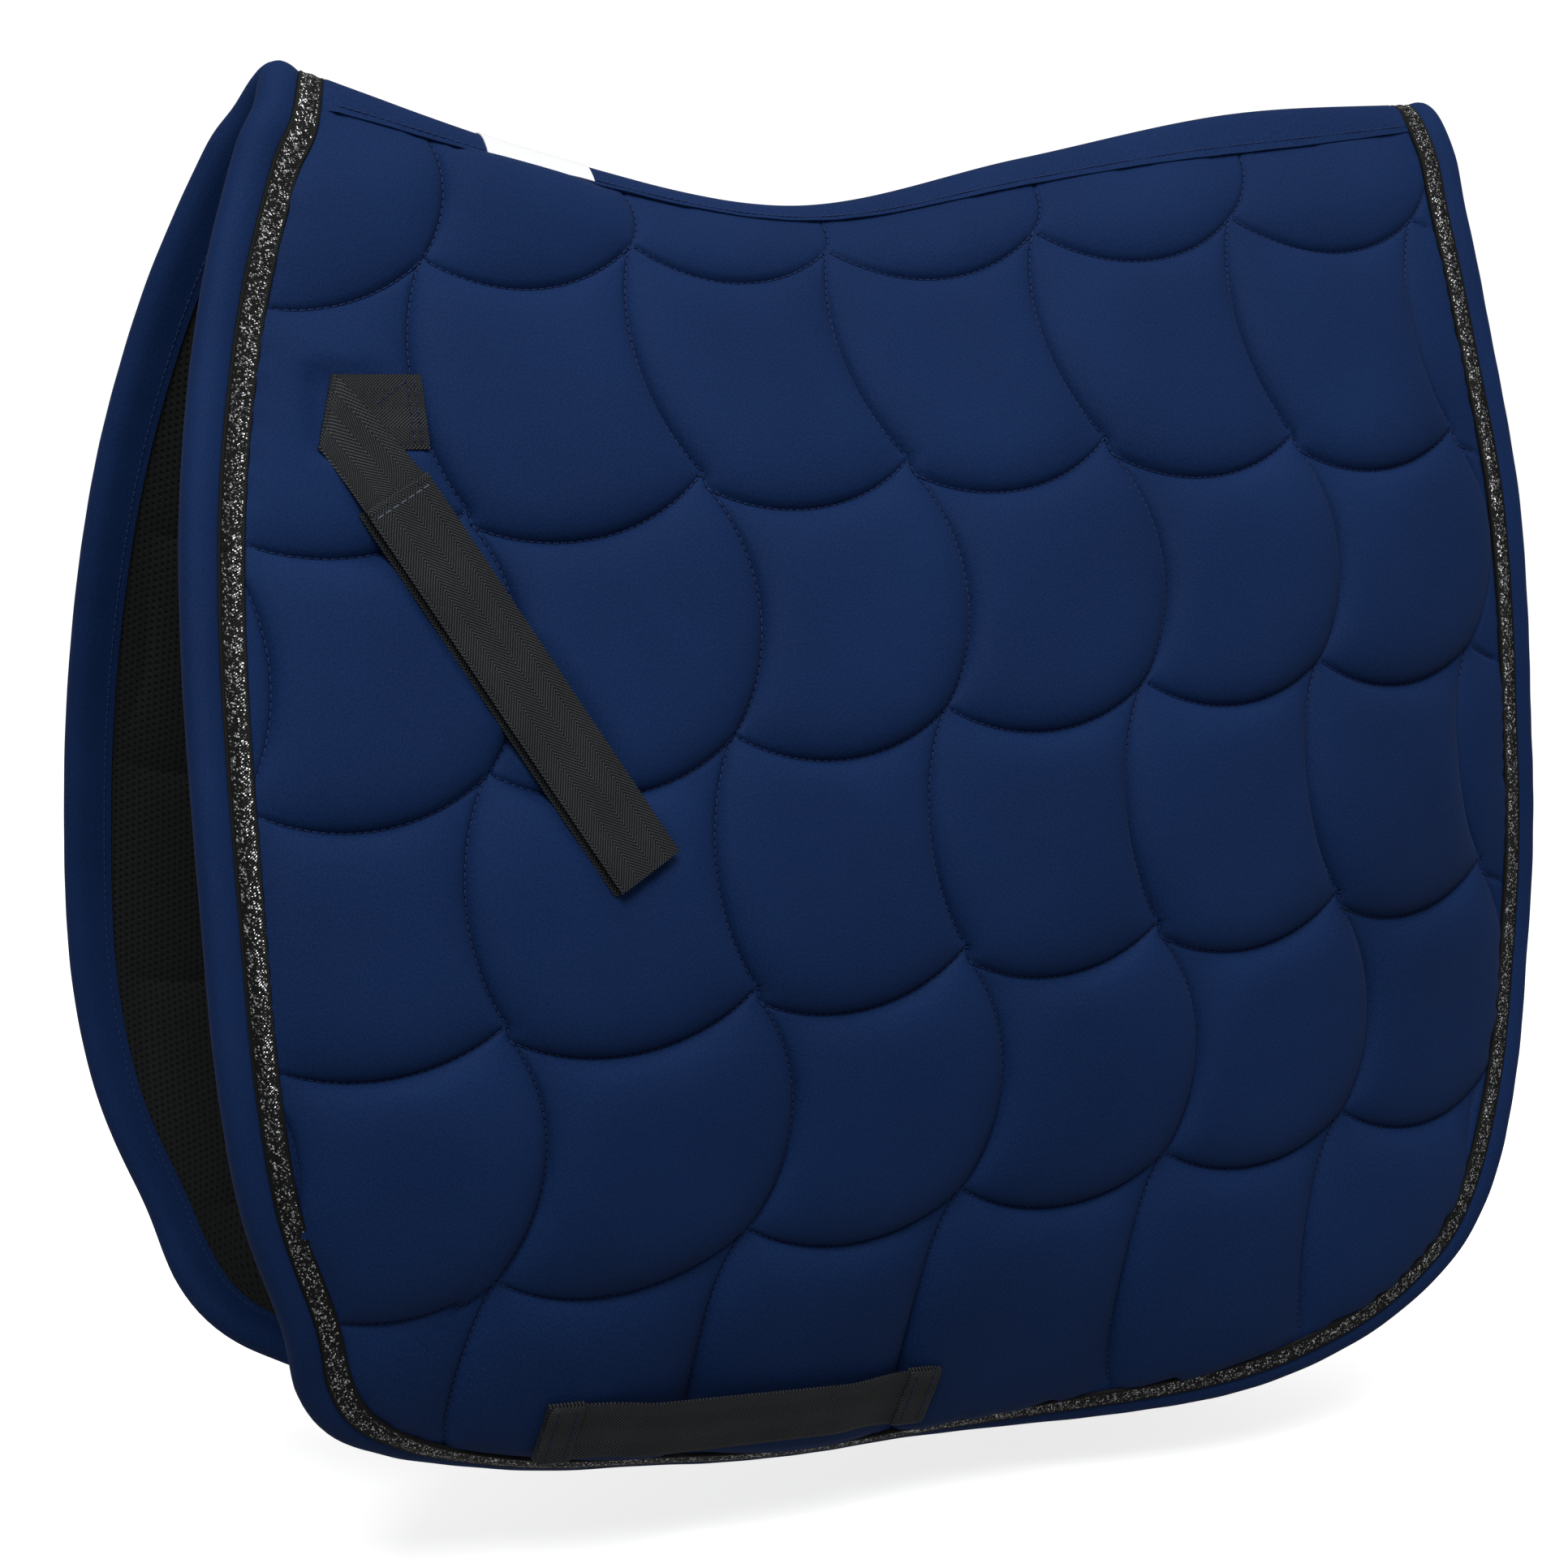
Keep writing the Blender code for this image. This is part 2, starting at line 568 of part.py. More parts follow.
def girth_keeper(side_name, side, panel):
    """The band for the girth: folded ends sewn down, and a middle that stands off the pad."""
    middle_x = KEEPER_FRONT_X + KEEPER_LENGTH / 2
    hem_z = -PANEL_DROP
    middle_z = hem_z + (KEEPER_ABOVE_HEM + WEBBING_WIDTH / 2) * slope_share(middle_x, hem_z + WEBBING_WIDTH)
    frame = place_on(side, middle_x, middle_z, COVER_TOP, KEEPER_TILT)
    half = KEEPER_LENGTH / 2
    bulge = 0.0
    for i in range(BAND_SAMPLES + 1):
        for edge in (-WEBBING_WIDTH / 2, 0.0, WEBBING_WIDTH / 2):
            under = frame @ Vector((half * (2 * i / BAND_SAMPLES - 1), edge, 0))
            on_pad = lifted(side, under.x, way_down(under.x, under.z), COVER_TOP)
            bulge = max(bulge, (on_pad - under).dot(frame.col[2].xyz))
    base = bulge + TRIM_GAP + BRAID_THICKNESS + 3 * TOUCH_GAP
    fold_top = base + WEBBING_THICKNESS
    for end_name, start in (("front", -half), ("rear", half - KEEPER_FOLD)):
        box_piece(f"{side_name}_keeper_{end_name}_fold", (KEEPER_FOLD, WEBBING_WIDTH, WEBBING_THICKNESS),
                  frame @ Matrix.Translation((start, 0, base)), WEBBING, panel)
    low = fold_top + TOUCH_GAP
    inner = [(-half, low), (-half + KEEPER_FOLD, low), (-half + KEEPER_FOLD + KEEPER_RISE, base + KEEPER_BOW),
             (half - KEEPER_FOLD - KEEPER_RISE, base + KEEPER_BOW), (half - KEEPER_FOLD, low), (half, low)]
    outer = [(x, z + WEBBING_THICKNESS) for x, z in reversed(inner)]
    turned = frame @ Matrix.Rotation(math.pi / 2, 4, "X") @ Matrix.Translation((0, 0, -WEBBING_WIDTH / 2))
    flat_piece(f"{side_name}_girth_keeper", inner + outer, WEBBING_WIDTH, turned, WEBBING, panel)


def pad_side(side_name, side):
    """Every piece of one side, on the pivot it folds about."""
    panel = add_pivot(f"{side_name}_panel_fold", (0.0, 0.0, FOLD_AXIS_Z))
    edge = cut_edge()
    rings = (edge, inset_edge(edge, BINDING_WIDTH), inset_edge(edge, BINDING_WIDTH + BRAID_WIDTH + BRAID_GAP))
    for name, top, thickness, material in (("outer_cover", COVER_TOP, COVER_THICKNESS, NAVY_CLOTH),
                                           ("wadding", WADDING_TOP, WADDING_THICKNESS, FOAM),
                                           ("lining", LINING_TOP, LINING_THICKNESS, MESH_LINING)):
        panel_sheet(f"{side_name}_{name}", side, top, thickness, rings, material, panel)
    edge_binding(f"{side_name}_edge_binding", side, rings, NAVY_TAPE, panel)
    edge_braid(f"{side_name}_glitter_braid", side, rings, BRAID, panel)
    _, stub_end = billet_anchor(f"{side_name}_billet_anchor", side, WEBBING, panel)
    billet_strap(side_name, side, panel, stub_end)
    girth_keeper(side_name, side, panel)


def spine():
    """The pieces on the middle plane."""
    spine_strip("spine_tape", SPINE_FRONT_X, SPINE_REAR_X, RIDGE_STEPS, COVER_TOP, TAPE_THICKNESS, NAVY_TAPE)
    spine_seam("spine_seam", NAVY_TAPE)
    spine_strip("label", LABEL_FRONT_X, LABEL_FRONT_X + LABEL_LENGTH, 3,
                COVER_TOP + TOUCH_GAP + LAYER_GAP + LABEL_THICKNESS, LABEL_THICKNESS, WHITE)


clear_scene()
COLLECTION = new_collection("saddle_pad")
NAVY_CLOTH = new_material("navy_cloth", (0.010, 0.030, 0.105), 0.62)
NAVY_TAPE = new_material("navy_tape", (0.012, 0.032, 0.100), 0.70)
FOAM = new_material("foam", (0.80, 0.79, 0.74), 0.90)
MESH_LINING = new_material("mesh_lining", (0.004, 0.005, 0.006), 0.85)
BRAID = new_material("braid", (0.030, 0.031, 0.034), 0.35, 0.4)
WEBBING = new_material("webbing", (0.018, 0.024, 0.034), 0.60)
LOOP = new_material("loop_pile", (0.010, 0.011, 0.013), 0.95)
HOOK = new_material("hook_tape", (0.012, 0.013, 0.015), 0.55)
WHITE = new_material("label_white", (0.80, 0.80, 0.80), 0.55)
for piece_side, direction in SIDES.items():
    pad_side(piece_side, direction)
spine()
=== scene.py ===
"""Looks of the quilted dressage saddle pad: covers, bindings, braid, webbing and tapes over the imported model."""
import logging
import math
from dataclasses import dataclass, field
from enum import Enum
from typing import Callable, Sequence

import bpy
import numpy as np
from mathutils import Matrix, Vector
from mathutils.geometry import delaunay_2d_cdt
from mathutils.kdtree import KDTree


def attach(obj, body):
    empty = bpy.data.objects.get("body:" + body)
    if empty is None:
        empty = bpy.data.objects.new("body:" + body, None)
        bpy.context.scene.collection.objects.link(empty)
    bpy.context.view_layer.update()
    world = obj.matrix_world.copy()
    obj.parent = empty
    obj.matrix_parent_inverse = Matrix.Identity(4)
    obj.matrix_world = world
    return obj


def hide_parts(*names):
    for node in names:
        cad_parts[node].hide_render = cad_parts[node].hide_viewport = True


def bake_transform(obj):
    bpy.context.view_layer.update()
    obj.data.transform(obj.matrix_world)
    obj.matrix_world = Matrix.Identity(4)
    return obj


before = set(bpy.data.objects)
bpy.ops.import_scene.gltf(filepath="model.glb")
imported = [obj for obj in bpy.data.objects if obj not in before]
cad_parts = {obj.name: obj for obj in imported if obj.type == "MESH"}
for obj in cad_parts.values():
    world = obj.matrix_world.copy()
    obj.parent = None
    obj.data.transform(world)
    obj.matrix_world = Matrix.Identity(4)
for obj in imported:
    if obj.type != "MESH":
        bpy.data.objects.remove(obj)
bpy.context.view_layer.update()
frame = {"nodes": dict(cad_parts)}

LOG = logging.getLogger("saddle_pad")
MM = 0.001
Array = np.ndarray
Piece = bpy.types.Object
Material = bpy.types.Material
Socket = bpy.types.NodeSocket


class Side(Enum):
    """The two sides of the pad, with the sign of Y they stand on."""

    LEFT = -1
    RIGHT = 1

    @property
    def label(self) -> str:
        """The side's name as it starts a piece's name."""
        return self.name.lower()


# ---- Lines, curves and frames ----
def unit(rows: Array) -> Array:
    """Each row at length 1."""
    return rows / np.linalg.norm(rows, axis=1)[:, None]


def way_along(points: Array) -> Array:
    """The way along a line to each of its points."""
    return np.concatenate([[0], np.cumsum(np.linalg.norm(np.diff(points, axis=0), axis=1))])


def read_line(at: Array, way: Array, points: Array) -> Array:
    """A line's points, or what goes with them, read at the given ways along it."""
    return np.stack([np.interp(at, way, column) for column in points.T], axis=1)


def point_tree(points: Array) -> KDTree:
    """A tree that finds the nearest of flat points."""
    tree = KDTree(len(points))
    for i, (a, b) in enumerate(points):
        tree.insert((a, b, 0), i)
    tree.balance()
    return tree


def square_frame(along: Vector, normal: Vector, origin: Sequence[float]) -> Matrix:
    """A frame with X along a piece, Z outward and its origin at a place."""
    matrix = Matrix((along, normal.cross(along), normal)).transposed().to_4x4()
    matrix.translation = origin
    return matrix


def framed(frame_matrix: Matrix, *local: Array) -> Array:
    """Points in space from their x, y and z in a frame."""
    turn = np.array(frame_matrix.to_3x3())
    return np.stack(np.broadcast_arrays(*local), axis=1) @ turn.T + np.array(frame_matrix.translation)


def curve_value(knots: Sequence[float], values: Array, at: Array) -> Array:
    """Read a smooth curve through knots, straight beyond its ends.

    Args:
        knots: Rising places of the curve's points.
        values: Value at each knot, or one row of values per knot, with a column for each place in at.
        at: Where the curve is read.

    Returns:
        The curve's value at each place.
    """
    knots, values, at = np.asarray(knots, float), np.asarray(values, float), np.asarray(at, float)
    n = len(knots)
    low, high = np.maximum(np.arange(n) - 1, 0), np.minimum(np.arange(n) + 1, n - 1)
    gaps = knots[high] - knots[low]
    slopes = (values[high] - values[low]) / (gaps if values.ndim == 1 else gaps[:, None])
    i = np.clip(np.searchsorted(knots, at, side="right") - 1, 0, n - 2)
    columns = np.arange(at.size)

    def pick(table: Array, k: Array) -> Array:
        """The table's entry for each place."""
        return table[k] if table.ndim == 1 else table[k, columns]

    span = knots[i + 1] - knots[i]
    raw = (at - knots[i]) / span
    t = np.clip(raw, 0, 1)
    inside = ((2 * t ** 3 - 3 * t ** 2 + 1) * pick(values, i) + (t ** 3 - 2 * t ** 2 + t) * span * pick(slopes, i)
              + (3 * t ** 2 - 2 * t ** 3) * pick(values, i + 1) + (t ** 3 - t ** 2) * span * pick(slopes, i + 1))
    below = np.where(raw < 0, raw * span * pick(slopes, i), 0)
    above = np.where(raw > 1, (raw - 1) * span * pick(slopes, i + 1), 0)
    return inside + below + above


def ramp(value: Array, low: float, high: float) -> Array:
    """Smooth step from 0 at low to 1 at high; low may be the larger."""
    t = np.clip((np.asarray(value, float) - low) / (high - low), 0, 1)
    return t * t * (3 - 2 * t)


# ---- The pad's form ----
@dataclass(frozen=True)
class PadForm:
    """The curved surface that every sheet of a side follows, for the left side."""

    spine_front: float = -0.229
    spine_rear: float = 0.347
    drop: float = 0.523
    roof: float = 0.030
    spine_heights: tuple = (0.0585, 0.0265, 0.0095, 0.0335, 0.0580, 0.0680)
    section_heights: tuple = (-1.0096, -0.8375, -0.6463, -0.4551, -0.2256, -0.0344, 0.1185)
    section_places: tuple = (-0.280, 0.030, 0.210, 0.360)
    section_widths: tuple = ((0.056, 0.088, 0.105, 0.097, 0.068, 0.039, 0.012),
                             (0.058, 0.097, 0.111, 0.106, 0.076, 0.030, 0.004),
                             (0.094, 0.103, 0.106, 0.101, 0.080, 0.043, 0.005),
                             (0.098, 0.093, 0.078, 0.074, 0.066, 0.045, 0.018))
    curl_start: float = 0.029      # from the cut edge in to where the hem starts to curl under
    curl_length: float = 0.020
    curl_angle: float = math.radians(47)
    hem_stretch: float = 0.0162    # how much further down the curled hem starts, so that its lowest line stays
    stretch_start: float = 0.095
    lining_level: float = -0.0082
    seam_half_gap: float = 0.0052

    def ridge(self, x: Array) -> Array:
        """Height of the spine line at x."""
        return curve_value(np.linspace(self.spine_front, self.spine_rear, 6), self.spine_heights, x)

    def half_width(self, x: Array, z: Array) -> Array:
        """Half the pad's width at x and height z."""
        rows = [curve_value(self.section_heights, widths, z / self.drop) for widths in self.section_widths]
        return curve_value(self.section_places, np.stack(rows), x)

    def surface(self, x: Array, t: Array) -> Array:
        """Seam-level points at x, a way t down from the ridge."""
        angle = np.clip(t / self.roof, 0, math.pi / 2)
        flat = t >= self.roof * math.pi / 2
        drop = np.where(flat, self.roof * (1 - math.pi / 2) + t, self.roof * (1 - np.cos(angle)))
        z = self.ridge(x) - drop
        return np.stack([x, -self.half_width(x, z) * np.sin(angle), z], axis=1)

    def way_down(self, x: Array, z: Array) -> Array:
        """The way t down at which the surface has height z."""
        drop = np.maximum(self.ridge(x) - z, 0)
        near = self.roof * np.arccos(np.clip(1 - drop / self.roof, -1, 1))
        return np.where(drop < self.roof, near, drop + self.roof * (math.pi / 2 - 1))

    def outward(self, x: Array, t: Array) -> Array:
        """Unit normals, away from the horse."""
        step = 0.5 * MM
        along = self.surface(x + step, t) - self.surface(x - step, t)
        down = self.surface(x, t + step) - self.surface(x, np.maximum(t - step, 0))
        return unit(np.cross(down, along))

    def top_edge(self, x: Array) -> Array:
        """The way down at which the sheets of a side start."""
        low, high = np.zeros_like(x), np.full_like(x, 0.08)
        for _ in range(24):
            middle = (low + high) / 2
            near = self.lifted(x, middle, np.full_like(x, self.lining_level))[:, 1] > -self.seam_half_gap
            low, high = np.where(near, middle, low), np.where(near, high, middle)
        return high

    def lifted(self, x: Array, t: Array, height: Array) -> Array:
        """Points that stand a height off the surface."""
        return self.surface(x, t) + self.outward(x, t) * np.reshape(height, (-1, 1))


@dataclass
class CutEdge:
    """The cut edge of a side in the flat pattern, from the spine's front end round to its rear end."""

    form: PadForm
    step: float = 3.5 * MM
    front: tuple = ((0.0, 0.112), (-0.008, 0.088), (-0.020, 0.048), (-0.040, -0.056), (-0.055, -0.182),
                    (-0.062, -0.315), (-0.063, -0.469), (-0.059, -0.622), (-0.045, -0.745), (-0.013, -0.865),
                    (0.022, -0.920), (0.077, -0.962), (0.159, -0.990), (0.249, -1.0))
    rear: tuple = ((-0.237, -0.992), (-0.157, -0.976), (-0.101, -0.947), (-0.060, -0.911), (-0.031, -0.864),
                   (-0.005, -0.774), (0.010, -0.677), (0.017, -0.555), (0.014, -0.411), (0.008, -0.230),
                   (0.001, -0.096), (-0.002, 0.019), (-0.001, 0.085), (0.0, 0.130))
    path: Array = field(init=False)
    inward: Array = field(init=False)
    along: Array = field(init=False)
    tree: KDTree = field(init=False)
    curl: Array = field(init=False)
    curl_heights: tuple = (-0.420, -0.400)
    curl_places: tuple = (-0.195, 0.020, 0.100, 0.260)
    curl_shares: tuple = (0.0, 1.0, 1.0, 0.60, 0.45, 0.0)

    def __post_init__(self) -> None:
        """Lay out the path, its inward directions and its length."""
        form = self.form
        x = np.array([form.spine_front + p[0] for p in self.front] + [form.spine_rear + p[0] for p in self.rear])
        z = np.array([p[1] * form.drop for p in self.front + self.rear])
        t = form.way_down(x, z)
        t[0] = t[-1] = 0.0
        dense = self.smooth(np.stack([x, t], axis=1))
        length = way_along(dense)
        count = int(round(length[-1] / self.step))
        self.along = np.linspace(0, length[-1], count + 1)
        self.path = read_line(self.along, length, dense)
        forward = np.gradient(self.path, axis=0)
        forward[0], forward[-1] = (0, 1), (0, -1)
        forward = unit(forward)
        self.inward = np.stack([forward[:, 1], -forward[:, 0]], axis=1)
        self.tree = point_tree(self.path)
        height = form.surface(self.path[:, 0], self.path[:, 1])[:, 2]
        middle = int(np.argmin(height))
        start = self.along[:middle][height[:middle] < self.curl_heights[0]][0]
        stop = self.along[middle:][height[middle:] < self.curl_heights[1]][-1]
        low = height < -0.45
        knots = [start, *np.interp(self.curl_places, self.path[low, 0], self.along[low]), stop]
        self.curl = np.interp(self.along, knots, self.curl_shares)
        width = int(0.04 / self.step)
        self.curl = np.convolve(np.pad(self.curl, width, mode="edge"), np.hanning(2 * width + 1), "valid")
        self.curl /= np.hanning(2 * width + 1).sum()

    @staticmethod
    def smooth(points: Array) -> Array:
        """A dense smooth curve through points."""
        padded = np.vstack([points[0], points, points[-1]])
        u = np.linspace(0, 1, 24, endpoint=False)[:, None]
        runs = []
        for a, b, c, d in zip(padded, padded[1:], padded[2:], padded[3:]):
            runs.append(0.5 * (2 * b + (c - a) * u + (2 * a - 5 * b + 4 * c - d) * u ** 2
                               + (3 * b - a - 3 * c + d) * u ** 3))
        return np.vstack(runs + [points[-1:]])

    def inset(self, distance: float) -> Array:
        """The path moved in by a distance."""
        return self.path + self.inward * distance

    def locate(self, x: Array, t: Array) -> tuple:
        """Find each place's nearest point of the cut edge.

        Args:
            x: Places along the pad.
            t: Their ways down from the ridge.

        Returns:
            The way along the edge, the depth inside it (negative outside) and the inward direction, for each place.
        """
        near = np.array([self.tree.find((a, b, 0))[1] for a, b in zip(x, t)], int)
        first = self.along[near]
        way = first.copy()
        for _ in range(4):
            normal = unit(read_line(way, self.along, self.inward))
            gap = np.stack([x, t], axis=1) - read_line(way, self.along, self.path)
            ahead = gap[:, 1] * normal[:, 0] - gap[:, 0] * normal[:, 1]
            way = np.clip(way + np.clip(ahead, -self.step, self.step), first - self.step, first + self.step)
            way = np.clip(way, 0, self.along[-1])
        return way, (gap * normal).sum(1), normal

    def depth(self, x: Array, t: Array) -> Array:
        """How far each place lies inside the cut edge, negative outside it."""
        return self.locate(x, t)[1]


@dataclass
class SideShape:
    """Places points of the left side in space, with the hem's curl."""

    form: PadForm
    edge: CutEdge

    def place(self, x: Array, t: Array, height: Array) -> Array:
        """Points of the left side.

        Args:
            x: Place along the pad.
            t: Way down from the ridge.
            height: Height over the seam-level surface.

        Returns:
            One row (x, y, z) per point.
        """
        form = self.form
        x, t = np.ravel(np.asarray(x, float)), np.ravel(np.asarray(t, float))
        height = np.broadcast_to(np.ravel(height), x.shape)
        way, depth, inward = self.edge.locate(x, t)
        share = np.interp(way, self.edge.along, self.edge.curl)
        moved = form.hem_stretch * np.sin(share * math.pi / 2) * ramp(depth, form.stretch_start, form.curl_start)
        x, t = x - inward[:, 0] * moved, t - inward[:, 1] * moved
        points = form.lifted(x, t, height)
        bent = (depth < form.curl_start) & (share > 0.01)
        if not bent.any():
            return points
        inward, reach, angle = inward[bent], (form.curl_start - depth)[bent], form.curl_angle * share[bent]
        bx, bt = x[bent] + inward[:, 0] * reach, t[bent] + inward[:, 1] * reach
        start, normal = form.surface(bx, bt), form.outward(bx, bt)
        down = (form.surface(bx - inward[:, 0] * MM, bt - inward[:, 1] * MM)
                - form.surface(bx + inward[:, 0] * MM, bt + inward[:, 1] * MM))
        down = unit(down)
        radius = form.curl_length / angle
        turn = np.minimum(reach, form.curl_length) / radius
        beyond = np.maximum(reach - form.curl_length, 0)
        ahead = (radius * np.sin(turn) + beyond * np.cos(turn))[:, None]
        under = (radius * (1 - np.cos(turn)) + beyond * np.sin(turn))[:, None]
        turned = normal * np.cos(turn)[:, None] + down * np.sin(turn)[:, None]
        curled = start + down * ahead - normal * under + turned * height[bent][:, None]
        mix = ramp(share[bent], 0.01, 0.30)[:, None]
        points[bent] = points[bent] * (1 - mix) + curled * mix
        return points


@dataclass(frozen=True)
class QuiltPattern:
    """The sewn scallops of a side: wavy seams down the pad and arcs across it, as (x, z) of the left side."""

    rows: str = "NOPQRST"
    stepped: str = "PR"            # rows whose next seams start a little lower than where the last ones end
    step: tuple = (0.001, -0.0065)
    cusps: tuple = (
        ((-0.272, 0.040), (-0.173, 0.044), (-0.084, 0.016), (0.009, 0.006), (0.114, 0.032), (0.226, 0.055),
         (0.326, 0.055), (0.428, 0.050)),
        ((-0.285, -0.022), (-0.180, -0.0145), (-0.0868, -0.0065), (0.0065, -0.0065), (0.109, 0.004),
         (0.212, 0.013), (0.314, 0.015), (0.414, 0.020)),
        ((-0.283, -0.108), (-0.176, -0.111), (-0.0735, -0.0977), (0.023, -0.093), (0.121, -0.085),
         (0.220, -0.084), (0.317, -0.082), (0.415, -0.078)),
        ((-0.2765, -0.218), (-0.179, -0.2105), (-0.0742, -0.2013), (0.024, -0.1945), (0.123, -0.188),
         (0.220, -0.183), (0.319, -0.181), (0.417, -0.177)),
        ((-0.284, -0.302), (-0.1774, -0.3067), (-0.070, -0.3015), (0.027, -0.293), (0.124, -0.291),
         (0.227, -0.287), (0.327, -0.282), (0.425, -0.278)),
        ((-0.272, -0.403), (-0.1785, -0.4102), (-0.071, -0.403), (0.029, -0.398), (0.132, -0.3945),
         (0.232, -0.388), (0.326, -0.385), (0.425, -0.381)),
        ((-0.270, -0.520), (-0.1706, -0.515), (-0.068, -0.520), (0.035, -0.520), (0.140, -0.520),
         (0.2282, -0.510), (0.322, -0.490), (0.42, -0.48)),
    )
    bulges: tuple = (0.16, -0.145, 0.175, -0.145, 0.175, -0.145)
    sag: tuple = (0.165, 0.152, 0.16, 0.152, 0.162)

    @staticmethod
    def bow(start: Sequence[float], end: Sequence[float], bulge: float, spacing: float) -> Array:
        """A bowed line.

        Args:
            start: First point, (x, z).
            end: Last point.
            bulge: How far its middle stands off the chord, as a share of the chord; to the left of travel if over 0.
            spacing: Distance between its points.

        Returns:
            Points evenly spaced along the line.
        """
        a, b = np.array(start, float), np.array(end, float)
        chord = b - a
        left = np.array([-chord[1], chord[0]])
        u = np.linspace(0, 1, 80)[:, None]
        dense = a + chord * u + left * bulge * (4 * u * (1 - u)) ** 0.88
        length = way_along(dense)
        even = np.linspace(0, length[-1], max(2, int(round(length[-1] / spacing)) + 1))
        return read_line(even, length, dense)

    def start_of(self, row: int, column: int) -> tuple:
        """Where the seams that leave a cusp start."""
        x, z = self.cusps[row][column]
        lower = self.rows[row] in self.stepped
        return (x + self.step[0], z + self.step[1]) if lower else (x, z)

    def seams(self, spacing: float) -> list:
        """Every seam line, as arrays of (x, z) points."""
        lines = []
        for row in range(len(self.rows) - 1):
            for column in range(8):
                lines.append(self.bow(self.start_of(row, column), self.cusps[row + 1][column],
                                      self.bulges[row], spacing))
        for row in range(1, len(self.rows) - 1):
            for column in range(7):
                lines.append(self.bow(self.start_of(row, column), self.cusps[row][column + 1],
                                      -self.sag[row - 1], spacing))
                if self.rows[row] in self.stepped:
                    lines.append(self.bow(self.cusps[row][column], self.start_of(row, column), 0.0, spacing))
        return lines


FORM = PadForm()
EDGE = CutEdge(FORM)
SHAPE = SideShape(FORM, EDGE)


# ---- Finishes ----
class Nodes:
    """Builds one material's node tree."""

    def __init__(self, name: str) -> None:
        """Start a material whose only node is its shader and output."""
        self.material = bpy.data.materials.new(name)
        self.material.use_nodes = True
        self.tree = self.material.node_tree
        self.shader = self.tree.nodes["Principled BSDF"]

    def add(self, kind: str, settings: dict | None = None, inputs: dict | None = None) -> bpy.types.Node:
        """Add a node.

        Args:
            kind: Node type's name after "ShaderNode".
            settings: The node's own properties.
            inputs: Values or sockets for its inputs, by name or number.

        Returns:
            The node.
        """
        node = self.tree.nodes.new("ShaderNode" + kind)
        for key, value in (settings or {}).items():
            setattr(node, key, value)
        for key, value in (inputs or {}).items():
            self.feed(node.inputs[key], value)
        return node

    def feed(self, socket: Socket, value: object) -> None:
        """Link a socket to an input, or set the input's value."""
        if isinstance(value, Socket):
            self.tree.links.new(value, socket)
        else:
            socket.default_value = value

    def math(self, operation: str, a: object, b: object = 0.0) -> Socket:
        """One arithmetic step."""
        return self.add("Math", {"operation": operation}, {0: a, 1: b}).outputs[0]

    def times(self, a: object, b: object) -> Socket:
        """Two values multiplied."""
        return self.math("MULTIPLY", a, b)

    def plus(self, a: object, b: object) -> Socket:
        """Two values added."""
        return self.math("ADD", a, b)

    def wave(self, value: object, period: float) -> Socket:
        """A ripple from -1 to 1 that repeats once a period."""
        return self.math("SINE", self.times(value, math.tau / period))

    def mix(self, share: object, *colours: object) -> Socket:
        """A colour between two colours, each three numbers or a socket."""
        a, b = ((*c, 1.0) if isinstance(c, tuple) else c for c in colours)
        return self.add("Mix", {"data_type": "RGBA"}, {"Factor": share, 6: a, 7: b}).outputs[2]

    def level(self, value: object, low: float, high: float) -> Socket:
        """Stretch a value's range low to high over 0 to 1, clamped."""
        return self.add("MapRange", None, {0: value, 1: low, 2: high}).outputs[0]

    def between(self, value: object, low: float, high: float) -> Socket:
        """Turn a value's range 0 to 1 into the range low to high."""
        return self.add("MapRange", None, {0: value, 3: low, 4: high}).outputs[0]

    def uv(self) -> tuple:
        """The piece's own UV map in metres: (vector, along, across)."""
        source = self.add("UVMap", {"uv_map": "UVMap"}).outputs[0]
        parts = self.add("SeparateXYZ", None, {0: source})
        return source, parts.outputs[0], parts.outputs[1]

    def place(self) -> Socket:
        """Object coordinates, in metres."""
        return self.add("TexCoord").outputs["Object"]

    def noise(self, vector: object, scale: float, detail: float = 2.0) -> Socket:
        """Soft random value."""
        return self.add("TexNoise", None, {"Vector": vector, "Scale": scale, "Detail": detail}).outputs["Fac"]

    def bump(self, height: object, depth: float, below: object | None = None) -> Socket:
        """Raise the surface by a height in 0 to 1 times depth in metres."""
        inputs = {"Height": height, "Distance": depth, "Strength": 1.0}
        if below is not None:
            inputs["Normal"] = below
        return self.add("Bump", None, inputs).outputs[0]

    def shade(self, values: dict) -> Material:
        """Set or link the shader's inputs and return the material."""
        for key, value in values.items():
            self.feed(self.shader.inputs[key], value)
        return self.material


